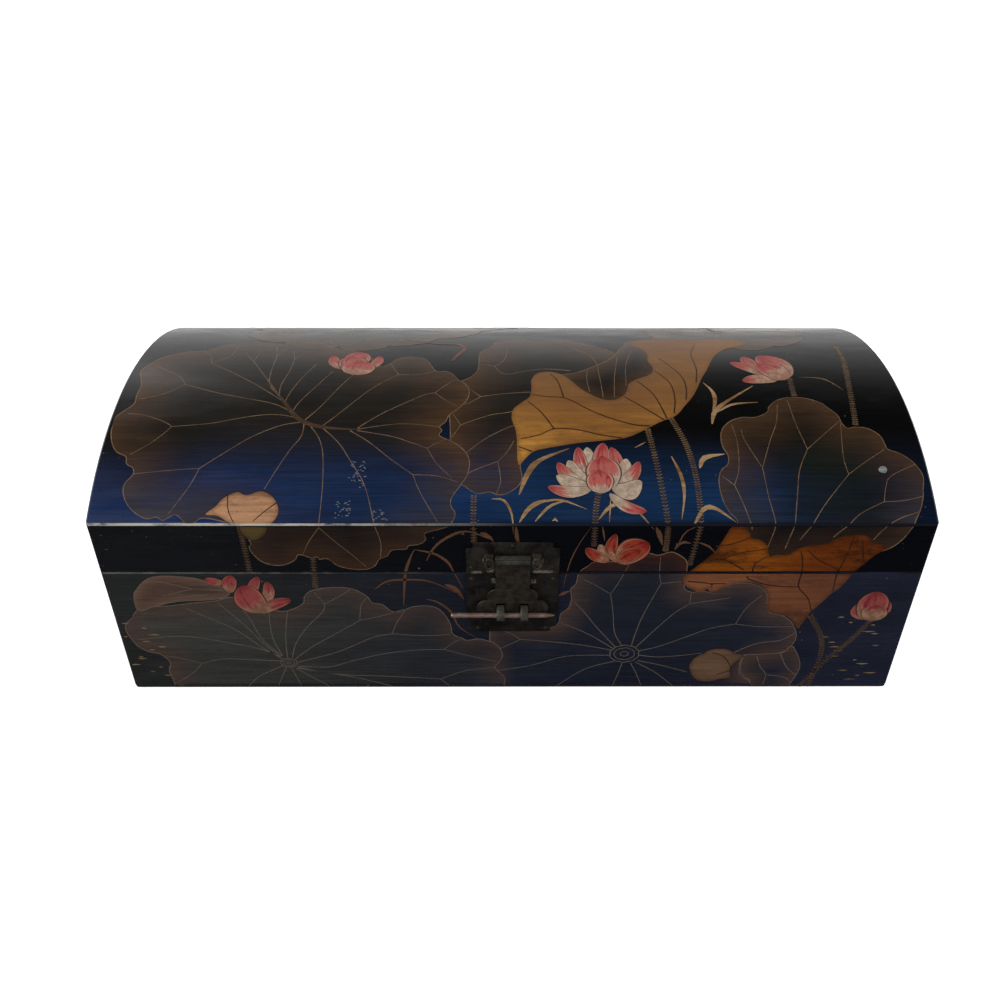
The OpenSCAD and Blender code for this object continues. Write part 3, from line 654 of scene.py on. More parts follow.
# %% Strokes and petals
def patch(plan, columns, rows, lift, point):
    made = bmesh.ops.create_grid(plan, x_segments=columns, y_segments=rows, size=0.5)["verts"]
    along = plan.verts.layers.float["along"]
    across = plan.verts.layers.float["across"]
    for vert in made:
        a = vert.co.x + 0.5
        b = vert.co.y + 0.5
        place_on_plan = point(a, b)
        vert.co = (place_on_plan[0], place_on_plan[1], lift)
        vert[along] = b
        vert[across] = a
    return made


def stroke(plan, points, width, lift, press, cell=3.0):
    length = sum(math.dist(points[k], points[k + 1]) for k in range(len(points) - 1))
    rows = max(2, int(length / cell))

    def point(a, b):
        centre = path_point(points, b)
        ahead = path_point(points, min(b + 0.01, 1)) - path_point(points, max(b - 0.01, 0))
        aside = Vector((ahead.y, -ahead.x)).normalized()
        level = press[min(int(b * (len(press) - 1)), len(press) - 2)]
        following = press[min(int(b * (len(press) - 1)) + 1, len(press) - 1)]
        share = b * (len(press) - 1) - min(int(b * (len(press) - 1)), len(press) - 2)
        half = width / 2 * (level * (1 - share) + following * share)
        return centre + aside * (a - 0.5) * 2 * half
    patch(plan, 1, rows, lift, point)


def petal(plan, base, tip, width, lift, curve, tint):
    base = Vector(base)
    axis = Vector(tip) - base
    aside = Vector((axis.y, -axis.x)).normalized()

    def point(a, b):
        half = width * (0.7 * b**0.5 * (1 - b**2.8) ** 0.75 + 0.08 * (1 - b))
        return base + axis * b + aside * (curve * math.sin(math.pi * b) + (a - 0.5) * 2 * half)
    made = patch(plan, 8, 10, lift, point)
    layer = plan.verts.layers.float["tint"]
    for vert in made:
        vert[layer] = tint


# %% [markdown]
# ## Laying paint on the wood
#
# A finished plan is copied for each body, cut at the worn lines, and laid on the chest. Solidify then
# gives each mark its thickness, down into the wood, so that every piece is a closed skin.

# %% Cutting a plan
SNAP = 1e-4


def keep_bands(plan, bands):
    for low, high in bands:
        for line in (low, high):
            geometry = plan.verts[:] + plan.edges[:] + plan.faces[:]
            at_line = (0, line, 0)
            bmesh.ops.bisect_plane(plan, geom=geometry, plane_co=at_line, plane_no=(0, 1, 0), dist=SNAP)
    outside = []
    for face in plan.faces:
        middle = face.calc_center_median().y
        if not any(low < middle < high for low, high in bands):
            outside.append(face)
    bmesh.ops.delete(plan, geom=outside, context="FACES")


def keep_width(plan, half):
    for side in (-1, 1):
        geometry = plan.verts[:] + plan.edges[:] + plan.faces[:]
        edge = (side * half, 0, 0)
        bmesh.ops.bisect_plane(plan, geom=geometry, plane_co=edge, plane_no=(side, 0, 0), clear_outer=True)


# %% Laying a plan
def add_object(name, data):
    piece = bpy.data.objects.new(name, data)
    bpy.context.scene.collection.objects.link(piece)
    bpy.ops.object.select_all(action="DESELECT")
    piece.select_set(True)
    bpy.context.view_layer.objects.active = piece
    return piece


def lay(plan, name, material, surface=on_front, bands=None, half_width=PAINTED_HALF_LENGTH):
    for body, body_bands in (bands or front_bands).items():
        part = plan.copy()
        keep_bands(part, body_bands)
        keep_width(part, half_width)
        if part.faces:
            for face in part.faces:
                face.normal_update()
                if face.normal.z < 0:
                    face.normal_flip()
            for vert in part.verts:
                vert.co = surface(vert.co.x * MM, vert.co.y * MM, vert.co.z * MM)
            mesh = bpy.data.meshes.new(f"{body}_{name}")
            part.to_mesh(mesh)
            piece = add_object(mesh.name, mesh)
            bpy.ops.object.modifier_add(type="SOLIDIFY")
            piece.modifiers[-1].thickness = PAINT_DEPTH
            piece.modifiers[-1].offset = -1
            bpy.ops.object.modifier_apply(modifier=piece.modifiers[-1].name)
            bpy.ops.object.shade_smooth_by_angle(angle=math.radians(35))
            piece.data.materials.append(material)
            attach(piece, body)
            print(f"{piece.name}: {len(piece.data.polygons)} faces")
        part.free()
    plan.free()


# %% [markdown]
# ## Paints
#
# The leaves are thin brown washes over the ground: strongest at the rim, where the wash dried, and
# almost clear in the middle. Veins are fine tan lines, rubbed through here and there. Gold leaves are
# opaque, with brush marks along the chest and dark veins. Petals run from cream at the foot to pink at
# the tip, in streaks that follow each petal, so they read the petal's own measures, kept as attributes
# by the grid.

# %% Leaf washes
def leaf_wash(name, inner, rims, rim_reach, inner_heights, inner_shares, right_share=1.0):
    material, tree, shader = new_material(name, roughness=0.28, ior=1.36)
    rim_paint, low_rim, wall_rim, base_rim = rims
    x = axis_of(tree, place(tree), 0)
    z = axis_of(tree, place(tree), 2)
    towards_left = between(tree, x, -0.03, -0.20, right_share, 1.0)
    ground = lacquer_ground(tree, ALONG_X)
    streaks = between(tree, noise(tree, 50, (0.2, 1, 1), 4, 0.7, (2, 9, 4)), 0.3, 0.72, 0.55, 1.0)
    veil = between(tree, z, *inner_heights, *inner_shares)
    body = mix(tree, times(tree, veil, streaks, towards_left), ground, inner)
    rim = attribute(tree, "rim")
    wide = between(tree, rim, rim_reach, 0.0)
    tight = between(tree, rim, rim_reach * 0.3, 0.0)
    share = maths(tree, "ADD", times(tree, wide, streaks, 0.8), times(tree, tight, 0.2), clamp=True)
    share = times(tree, share, maths(tree, "ADD", times(tree, towards_left, 0.4), 0.6))
    rim_mix = mix(tree, between(tree, z, 0.128, 0.148), low_rim, rim_paint)
    rim_mix = mix(tree, between(tree, z, CREASE, CREASE - 0.2 * MM), rim_mix, wall_rim)
    rim_mix = mix(tree, between(tree, z, SEAM + 0.3 * MM, SEAM), rim_mix, base_rim)
    painted = mix(tree, share, body, rim_mix)
    stain_x = band(tree, x, 0.176, 0.008, 0.03)
    stain = times(tree, stain_x, band(tree, z, 0.137, 0.006, 0.01), streaks, 0.7)
    painted = mix(tree, stain, painted, colour(20, 26, 15))
    rubbed = between(tree, noise(tree, 1100, ALONG_X, 3, 0.7, (3, 3, 3)), 0.35, 0.65, 0.82, 1.18)
    link(tree, shade(tree, painted, rubbed), shader.inputs["Base Color"])
    lacquer_touch(tree, shader, ALONG_X)
    return material


BROWN_RIM = colour(68, 47, 30)
GREY_RIM = colour(50, 46, 50)
BASE_RIM = colour(70, 53, 46)
WALL_RIM = colour(56, 38, 27)
TURNED_RIM = colour(98, 74, 62)
DOME_RIMS = (BROWN_RIM, GREY_RIM, WALL_RIM, BASE_RIM)
BASE_RIMS = (BROWN_RIM, GREY_RIM, colour(60, 28, 15), BASE_RIM)
TURNED_RIMS = (TURNED_RIM, TURNED_RIM, TURNED_RIM, TURNED_RIM)
dome_wash = leaf_wash("dome_leaf_wash", colour(30, 26, 21), DOME_RIMS, 34, (0.138, 0.154), (0.3, 0.95))
inside_wash = leaf_wash("folded_inside_wash", colour(26, 18, 12), DOME_RIMS, 16, (0, 0.1), (1, 1))
pale_brown = colour(67, 66, 62)
left_base_wash = leaf_wash("left_base_wash", pale_brown, BASE_RIMS, 20, (0, 0.09), (0.6, 0.85), 0.3)
base_wash = leaf_wash("base_leaf_wash", colour(34, 37, 44), BASE_RIMS, 18, (0, 0.09), (0.2, 0.8), 0.85)
turned_wash = leaf_wash("turned_leaf_wash", colour(78, 58, 48), TURNED_RIMS, 8, (0, 0.09), (1, 1))


# %% Lines, gold and stems
def opaque_paint(name, thin, main, second, ground_share, fine=180, below=None):
    material, tree, shader = new_material(name, roughness=0.35, ior=1.4)
    cloudy = between(tree, noise(tree, fine, (0.25, 1, 1), 4, 0.65, (6, 1, 1)), 0.32, 0.68)
    paint = mix(tree, cloudy, main, second)
    if below:
        edge, low_paint = below
        z = axis_of(tree, place(tree), 2)
        paint = mix(tree, between(tree, z, edge, edge - 0.2 * MM), paint, low_paint)
    brushed = between(tree, noise(tree, 900, ALONG_X, 3, 0.7, (1, 1, 7)), 0.3, 0.7, 0.82, 1.18)
    paint = shade(tree, paint, brushed)
    worn = between(tree, noise(tree, 260, (0.5, 1, 1), 5, 0.8, (8, 3, 6)), 0.56, 0.68, 0.0, ground_share)
    if thin:
        worn = maths(tree, "ADD", worn, thin, clamp=True)
    link(tree, mix(tree, worn, paint, lacquer_ground(tree, ALONG_X)), shader.inputs["Base Color"])
    bump(tree, shader, noise(tree, 700, ALONG_X, 3, 0.6), 0.35, 0.00006)
    return material


tan_line = opaque_paint(
    "vein_line_paint", 0.12, colour(124, 98, 70), colour(90, 68, 48), 0.5, below=(SEAM, colour(98, 86, 78))
)
dark_line = opaque_paint("dark_vein_paint", 0.0, colour(34, 19, 11), colour(54, 30, 15), 0.0)
stem_paint = opaque_paint("stem_paint", 0.2, colour(72, 55, 40), colour(46, 36, 30), 0.4)
prickle_paint = opaque_paint(
    "prickle_paint", 0.1, colour(126, 100, 68), colour(92, 72, 50), 0.4, below=(CREASE, colour(92, 66, 42))
)
grass_paint = opaque_paint(
    "grass_paint", 0.0, colour(152, 124, 88), colour(106, 74, 44), 0.35, 90, (CREASE, colour(86, 56, 38))
)
water_paint = opaque_paint("water_paint", 0.0, colour(140, 118, 84), colour(92, 66, 40), 0.4)
hub_paint = opaque_paint("leaf_heart_paint", 0.3, colour(80, 54, 32), colour(52, 34, 22), 0.5)


def gold_paint(name, bright, deep, rim_paint, mottled=0.0, ior=1.4):
    material, tree, shader = new_material(name, roughness=0.4, ior=ior)
    broad = between(tree, noise(tree, 16, (0.6, 1, 1), 3, 0.6, (3, 7, 2)), 0.3, 0.7)
    paint = mix(tree, broad, bright, deep)
    brushed = noise(tree, 420, (0.06, 1, 1), 4, 0.75, (1, 2, 7))
    paint = shade(tree, paint, between(tree, brushed, 0.25, 0.75, 0.72, 1.3))
    flecks = between(tree, noise(tree, 900, (0.3, 1, 1), 3, 0.7, (4, 4, 4)), 0.6, 0.72)
    paint = mix(tree, times(tree, flecks, 0.6), paint, rim_paint)
    dark = between(tree, noise(tree, 55, (0.35, 1, 1), 5, 0.8, (5, 9, 1)), 0.46, 0.62, 0.0, mottled)
    paint = mix(tree, dark, paint, rim_paint)
    rim = attribute(tree, "rim")
    paint = mix(tree, between(tree, rim, 3.0, 0.0, 0, 0.45), paint, rim_paint)
    z = axis_of(tree, place(tree), 2)
    paint = mix(tree, between(tree, z, 0.151, 0.160, 0, 0.75), paint, colour(98, 64, 34))
    link(tree, paint, shader.inputs["Base Color"])
    bump(tree, shader, brushed, 0.4, 0.00008)
    return material


dome_gold = gold_paint("dome_gold", colour(166, 116, 46), colour(124, 80, 30), colour(78, 46, 18), 0.35)
wall_gold = gold_paint("wall_gold", colour(124, 66, 4), colour(92, 40, 2), colour(40, 17, 5), 0.75, 1.2)
base_gold = gold_paint("base_gold", colour(124, 72, 40), colour(96, 53, 30), colour(48, 26, 17), 0.55)
pale_gold = gold_paint("pale_gold", colour(172, 128, 92), colour(134, 90, 60), colour(76, 46, 30), 0.5)
low_pale_gold = gold_paint("low_pale_gold", colour(102, 76, 56), colour(84, 58, 44), colour(52, 36, 28))
dull_gold = gold_paint("dull_gold", colour(78, 62, 28), colour(58, 44, 22), colour(38, 28, 16))


# %% Petals
def petal_paint(name, pale, dull, pink, deep, pink_from, ior=1.4):
    material, tree, shader = new_material(name, roughness=0.38, ior=ior)
    along = attribute(tree, "along")
    across = attribute(tree, "across")
    tint = attribute(tree, "tint")
    own = tree.nodes.new("ShaderNodeCombineXYZ")
    link(tree, times(tree, across, 8), own.inputs[0])
    link(tree, times(tree, along, 1.4), own.inputs[1])
    link(tree, times(tree, tint, 37), own.inputs[2])
    streak = noise(tree, 1.0, (1, 1, 1), 4, 0.65, (0, 0, 0), own.outputs[0])
    dabs = noise(tree, 260, (1, 1, 1), 4, 0.7, (1, 4, 2))
    paint = mix(tree, between(tree, dabs, 0.38, 0.62), pale, dull)
    paint = mix(tree, between(tree, along, 0.3, 0.02), paint, dull)
    reach = maths(tree, "ADD", along, tint)
    reach = maths(tree, "ADD", reach, times(tree, maths(tree, "SUBTRACT", streak, 0.5), 0.7))
    blush = between(tree, reach, pink_from - 0.14, pink_from + 0.14)
    paint = mix(tree, times(tree, blush, between(tree, dabs, 0.3, 0.6, 1.0, 0.72)), paint, pink)
    tips = times(tree, between(tree, along, 0.7, 0.95), blush)
    veined = times(tree, between(tree, streak, 0.5, 0.58), blush, 0.85)
    paint = mix(tree, maths(tree, "MAXIMUM", times(tree, tips, 0.7), veined), paint, deep)
    edge = maths(tree, "ABSOLUTE", maths(tree, "SUBTRACT", across, 0.5))
    light_rim = times(tree, between(tree, edge, 0.38, 0.42), 0.45)
    paint = mix(tree, light_rim, paint, pale)
    side_line = between(tree, edge, 0.45, 0.475)
    tip_line = between(tree, along, 0.965, 0.985)
    outline = maths(tree, "MAXIMUM", side_line, tip_line)
    paint = mix(tree, times(tree, outline, 0.9), paint, colour(36, 14, 14))
    link(tree, paint, shader.inputs["Base Color"])
    bump(tree, shader, streak, 0.3, 0.0001)
    return material


cream = colour(172, 154, 134)
open_petals = petal_paint(
    "open_petal_paint", cream, colour(142, 122, 104), colour(160, 60, 58), colour(128, 24, 34), 0.88
)
pink_petals = petal_paint(
    "pink_petal_paint", colour(158, 128, 108), colour(128, 88, 70), colour(150, 62, 58),
    colour(124, 34, 38), 0.9,
)
red_petals = petal_paint(
    "red_petal_paint", colour(150, 118, 94), colour(122, 78, 56), colour(134, 24, 11),
    colour(84, 7, 4), 0.78, 1.2,
)
low_petals = petal_paint(
    "low_petal_paint", colour(144, 104, 82), colour(110, 78, 60), colour(134, 46, 50),
    colour(104, 20, 30), 0.8,
)
petal_line = opaque_paint("petal_line_paint", 0.2, colour(104, 62, 50), colour(80, 48, 38), 0.5)


# %% [markdown]
# ## Lotus leaves
#
# A lotus leaf is a round shield on a stem: veins run from its heart and fork near the rim, and each fork
# points at a notch between two lobes. The leaves of the front were read from the photograph, on the
# plan's own grid: the corners of the rim, and for each vein its way from the heart to the fork and the two
# branches from there. Smooth curves through those few points give the brush its way.

# %% One leaf
VEIN_WIDTH = 0.46
RIM_WIDTH = 0.52


def draw_rim(plan, outline, width, lift):
    closed = list(outline) + [outline[0]]
    stroke(plan, closed, width, lift, (0.8, 1.1, 0.7, 1.0, 0.8, 1.1, 0.8), cell=2.2)


def draw_forks(plan, veins, width, lift):
    for main, *branches in veins:
        stroke(plan, main, width, lift, (1.25, 0.95, 0.8))
        for branch in branches:
            stroke(plan, [main[-1]] + branch, width * 0.9, lift, (0.9, 0.85, 0.75))


def draw_leaf(name, points, veins, material, lift, heart=None):
    outline = smooth_outline(points, 4)
    body = new_plan()
    wash(body, outline, lift)
    lay(body, name, material)
    lines = new_plan()
    draw_forks(lines, veins, VEIN_WIDTH, lift + LINE_STEP)
    draw_rim(lines, outline, RIM_WIDTH, lift + LINE_STEP)
    if heart:
        ringed_heart(lines, *heart, lift + HEART_STEP)
    lay(lines, f"{name}_veins", tan_line)


HEART_STEPS = 36
HEART_WAVE = 0.09
HEART_WIDE = 1.15
HEART_HIGH = 0.9


def ringed_heart(plan, hub, size, lift):
    for radius, bumps, width in ((1.0, 10, 0.5), (0.7, 7, 0.45), (0.3, 0, 0.45)):
        ring = []
        for k in range(HEART_STEPS + 1):
            turn = math.tau * k / HEART_STEPS
            r = radius * size * (1 + (HEART_WAVE * abs(math.sin(bumps * turn / 2)) if bumps else 0))
            x = hub[0] + r * math.cos(turn) * HEART_WIDE
            ring.append((x, hub[1] + r * math.sin(turn) * HEART_HIGH))
        stroke(plan, ring, width, lift, (1.0, 1.0), cell=1.4)


# %% The wide leaf on the left of the dome
draw_leaf(
    "left_leaf",
    [(-78, 243), (-73.4, 247), (-70, 252.6), (-62, 255.4), (-54, 253), (-50, 247), (-45.6, 237.4),
     (-39, 237), (-34, 232), (-32, 228), (-27.4, 223.6), (-25, 216.4), (-26.3, 208.6), (-31, 201.4),
     (-36.3, 195.7), (-38, 190.7), (-41.3, 187), (-40, 184), (-41.3, 180.3), (-34, 176), (-27.7, 170.7),
     (-24, 163), (-25, 154.3), (-28.4, 148), (-33.4, 140), (-33.7, 135), (-31.3, 130.7), (-33.4, 125),
     (-37.7, 122), (-47.7, 118.6), (-47.4, 114.6), (-50.6, 111.3), (-57, 110), (-58.4, 107.7),
     (-66.3, 107), (-69, 103), (-73.7, 100.6), (-76.3, 96), (-82, 93.4), (-90.6, 94), (-97, 96.3),
     (-102, 101), (-106.3, 100.6), (-107.7, 102.3), (-111.3, 101.7), (-115.6, 103.7), (-118.4, 103.4),
     (-120, 100.3), (-125.6, 97), (-132, 96.4), (-138.4, 99), (-142.3, 104), (-144, 109),
     (-142.7, 112.4), (-148, 123), (-160, 127), (-167.7, 128), (-171.3, 125.4), (-175.6, 125),
     (-179, 128), (-182, 130), (-185, 128.6), (-188.4, 126.7), (-192, 128.6), (-197, 127.6),
     (-203.4, 130.7), (-209, 136.4), (-212, 143), (-212, 148.6), (-208.4, 154), (-209.4, 158.3),
     (-213.4, 161), (-214.6, 165.7), (-220, 168.6), (-224, 174.3), (-226.6, 183), (-227, 193),
     (-224, 198.3), (-219, 205), (-219.4, 213), (-219, 221.4), (-221.3, 229.3), (-223.4, 235.7),
     (-222, 243), (-215, 254), (-203, 262), (-190, 265), (-180, 275), (-162, 281), (-147, 276),
     (-136, 280), (-121, 277), (-110, 268), (-99, 265), (-88, 257), (-83, 246)],
    [([(-120, 190.3), (-131, 188), (-146, 180), (-160, 168.6), (-172.7, 158)],
      [(-189, 156.7), (-208, 154.5)], [(-177, 146), (-186, 130)]),
     ([(-118.6, 190), (-119, 180), (-125, 168.6), (-135.6, 145)],),
     ([(-115.6, 188.6), (-109, 178.6), (-105.6, 167), (-104, 146), (-104.6, 122.4)],
      [(-111, 113), (-115, 104.5)], [(-96, 112), (-89, 104.6), (-81, 95)]),
     ([(-108.4, 186.7), (-98, 175.7), (-90.6, 164), (-81, 147), (-75, 125), (-72, 112), (-73, 101)],),
     ([(-92, 184), (-80.6, 175.7), (-67.7, 164), (-55, 154)], [(-42, 153.3), (-30.6, 149.5)],
      [(-50.6, 143), (-41, 126)]),
     ([(-88, 184), (-69, 180), (-57.7, 175.7), (-47.7, 171.4)], [(-43.5, 174.5), (-38, 177.5)],
      [(-42, 161), (-33.4, 152)]),
     ([(-88, 185), (-76, 187.4), (-65, 189), (-53.4, 188.6), (-41.3, 186.7)],),
     ([(-88, 185.7), (-75, 197), (-60.6, 207), (-50.6, 213.6), (-45, 215)], [(-40, 221.4), (-34, 228)],
      [(-39, 208.6), (-32, 203.5)]),
     ([(-108.4, 187), (-100.6, 195.7), (-90.6, 208.6), (-80.6, 221.4), (-67.7, 233.6)],
      [(-56, 233.6), (-46, 237.4)], [(-71, 240), (-73.4, 246)]),
     ([(-118.4, 192), (-110.6, 203), (-102, 220), (-95, 233.6)],),
     ([(-126.3, 199.3), (-123.4, 207), (-116.3, 220), (-107.7, 237)],),
     ([(-132, 206.4), (-130, 215.7), (-126.3, 227), (-119, 245.7)],),
     ([(-136.3, 214.3), (-136.6, 223), (-134, 237), (-133.4, 252)], [(-136, 264)], [(-128, 262)]),
     ([(-135.6, 211.4), (-143.4, 223), (-145, 237), (-145, 256)], [(-148, 272)], [(-141, 270)]),
     ([(-132, 207), (-140.6, 220), (-147.7, 231.4), (-158, 249)], [(-166, 262)], [(-156, 266)]),
     ([(-132.7, 207), (-146.3, 218.6), (-160.6, 230), (-183.4, 247)], [(-186.3, 257), (-192, 264)],
      [(-174, 256), (-172, 272)]),
     ([(-127, 198.6), (-137.7, 205), (-152, 209.3), (-170.6, 214.3), (-193.4, 223)],
      [(-199, 231.4), (-216.3, 243.6)], [(-203.4, 214.3), (-217, 209.3)]),
     ([(-123.4, 193.6), (-132, 196), (-143.4, 196), (-157.7, 193), (-172, 189.3), (-193.4, 187)],
      [(-198.4, 190.7), (-210.6, 195.7), (-220.6, 197)],
      [(-197, 181.4), (-203.4, 174.3), (-212.7, 167)])],
    dome_wash, LEAF_LIFT,
)
gathers = new_plan()
gather_path = [(-144, 224), (-133, 208), (-125, 196), (-117, 189.5), (-104, 186), (-86, 184.7)]
stroke(gathers, gather_path, 3.0, FOLD_LIFT, (0.1, 0.8, 1.0, 0.8, 0.1))
lay(gathers, "left_leaf_gathers", hub_paint)

# %% The other leaves of the dome
draw_leaf(
    "middle_leaf",
    [(-19, 262), (-20, 240), (-24, 231.4), (-27, 228.6), (-34, 222), (-36, 200), (-35, 180), (-36, 160),
     (-30, 149), (-26.7, 147), (-20, 142.5), (-13, 143.3), (-8.3, 141.7), (-3.3, 142.5), (2.5, 146.7),
     (5, 151.7), (4.2, 160), (8, 166), (24, 180), (60, 200), (70, 232), (68, 256), (56, 270), (44, 280),
     (30, 286), (16, 284), (4, 288), (-8, 282), (-12, 272)],
    [([(10, 202), (-1.7, 198.3), (-13.3, 195.8), (-29.4, 188.3)], [(-34, 197)],
      [(-32, 183), (-35, 178.6)]), ([(6, 189), (-1.7, 186.7), (-15, 178.3), (-26.7, 167.5)],),
     ([(0.8, 176.7), (-3, 169), (-8.3, 162.5)], [(-23.3, 155.8), (-28, 150)],
      [(-6.7, 150), (-9.2, 142.5)]),
     ([(12, 216), (-4, 214.5), (-18.3, 211.7)], [(-23, 217), (-27, 222)], [(-25, 206), (-30, 204)]),
     ([(36, 238), (18, 240), (-3.3, 234.2), (-10, 243.3)], [(-19, 246)], [(-4, 252), (-2, 270)]),
     ([(54, 236), (50, 256), (40, 268)], [(30, 282)], [(50, 274)])],
    dome_wash, UNDER_LIFT,
)
draw_leaf(
    "right_leaf",
    [(120.8, 125.8), (116.7, 131.7), (113.7, 140), (113, 150), (115, 156.7), (119.2, 160.8),
     (120, 166.7), (118, 171.7), (117.5, 178.3), (119.2, 185), (124.2, 190.8), (131.7, 194.2),
     (139.2, 194.2), (146.7, 198), (149.2, 203.3), (155, 208.7), (163.3, 211.2), (171.7, 210.3),
     (179.2, 206.7), (183.3, 201.7), (187.2, 195.8), (188.3, 189.2), (190.8, 185.8), (195, 186.7),
     (201.7, 185.8), (207.5, 180.8), (209.2, 174.2), (210, 170.8), (216.7, 167.5), (222.5, 161.7),
     (225.8, 153.3), (224.2, 145), (223.3, 140), (220.8, 133.3), (216.7, 125.8), (212, 114.6),
     (205, 107.4), (190, 103), (170, 100), (150, 97), (128, 98), (118, 114)],
    [([(129, 121), (125, 136), (121.3, 147.5)], [(115, 153.3)],
      [(125, 158.3), (126.3, 176.7), (125, 188.3)]),
     ([(139.3, 109), (141.3, 124.2), (139.2, 140), (138, 158.3)], [(130.8, 176.7), (130, 185)],
      [(145, 176.7), (150.8, 190), (154.2, 205)]),
     ([(149, 108), (151.7, 124.2), (155, 141.7), (158.3, 156.7), (165, 170.8)],
      [(161.7, 190), (160.8, 208.3)], [(176.7, 181.7), (187.5, 191.7)]),
     ([(156, 114), (161.3, 124.2), (170, 136.7), (185, 154.2)], [(184.2, 166.7), (187.5, 190)],
      [(195, 161.7), (208.3, 170.8)]),
     ([(174, 116), (180, 123.3), (188.3, 130.8), (201.7, 137.5)],
      [(204.2, 146.7), (208.3, 153.3), (223.3, 160.8)], [(213.3, 138.3), (223.3, 140.8)]),
     ([(196, 114), (201.7, 123.3), (210, 128.3), (220, 131.7)],)],
    dome_wash, LEAF_LIFT,
)

# %% The leaves of the base
draw_leaf(
    "base_left_leaf",
    [(-215, 63), (-219, 57.4), (-223.4, 53), (-224.6, 47.4), (-222.7, 40.3), (-220, 34.6), (-214, 30.3),
     (-209, 29), (-205, 24.6), (-204, 20.3), (-206, 14.6), (-205, 7.4), (-204, -8), (-200, -30),
     (-100, -30), (-8, -30), (-5, -8), (-4, 4), (-4, 9), (-7.7, 14), (-9.9, 17.4), (-8.4, 20.3),
     (-5.6, 26), (-6.3, 31.7), (-10.6, 37.4), (-19, 40.7), (-26.3, 39.6), (-29, 41.4), (-32.7, 43),
     (-35, 46), (-35.6, 51.7), (-38.4, 59), (-42.7, 64.6), (-49, 66.6), (-57.7, 65.6), (-63.4, 62.4),
     (-69, 62.4), (-74, 67.4), (-80, 69), (-82, 73), (-87.7, 78), (-95, 80.3), (-105, 80), (-113.4, 78),
     (-117.7, 74), (-119, 69), (-123.4, 65.3), (-132, 62.4), (-143, 66), (-157.7, 73), (-169, 70.3),
     (-180.6, 69), (-195, 66.7), (-206, 66)],
    [([(-137, 23), (-155, 24), (-172, 24.6), (-185, 21)], [(-195, 24.6), (-206, 27.5)],
      [(-193.4, 11.7), (-203, 5)]),
     ([(-137, 26), (-149, 33), (-165, 37.4), (-182, 41.7), (-197.7, 43), (-219, 40.3)],),
     ([(-137, 25), (-146.3, 33), (-160.6, 48), (-175, 57.4), (-186.3, 64.6)],),
     ([(-137, 26), (-146.3, 37.4), (-154, 50.3), (-167.7, 69)],),
     ([(-136.5, 27), (-146.3, 40.3), (-150.6, 54.6), (-154, 63)],),
     ([(-136, 27), (-140, 40.3), (-140, 57.4), (-139.4, 61)],),
     ([(-133.4, 26), (-132.7, 40.3), (-130, 57.4), (-128.4, 63)],),
     ([(-130.5, 26), (-127, 37.4), (-119, 50.3), (-109, 61.7), (-107, 68)], [(-95, 76), (-91, 79.5)],
      [(-110, 73), (-112, 77)]),
     ([(-129, 24.6), (-117.7, 34.6), (-103.4, 44.6), (-88, 55.5)], [(-86.3, 67.4), (-82.7, 72.4)],
      [(-75, 59), (-62, 64)]),
     ([(-128.6, 21.6), (-103.4, 30.3), (-82, 41.7), (-70, 45)], [(-66.3, 54.6), (-61.3, 63)],
      [(-52, 43.4), (-36.3, 44.3)]),
     ([(-128, 18.5), (-109, 18), (-95, 23), (-75, 29), (-57.7, 31.7), (-40, 32.4)],
      [(-35, 37.4), (-29, 41)], [(-26.3, 27.4), (-9, 22.4)]),
     ([(-128, 17.5), (-103.4, 11.7), (-80.6, 10.3), (-60.6, 9), (-42.7, 7.7)],
      [(-27.7, 14.6), (-10, 17.4)], [(-36.3, 0.2)]),
     ([(-129, 17), (-110.6, 13), (-89, 7.4), (-69, 0.2)],), ([(-129.5, 17), (-120, 9), (-109, 0.2)],),
     ([(-132, 17), (-129.5, 8), (-127, 0.2)],), ([(-135, 18), (-139, 9), (-142.7, 0.2)],),
     ([(-137, 19), (-152, 10.3), (-161.3, 0.2)],)],
    left_base_wash, LEAF_LIFT, ((-133.2, 21.5), 4.0),
)
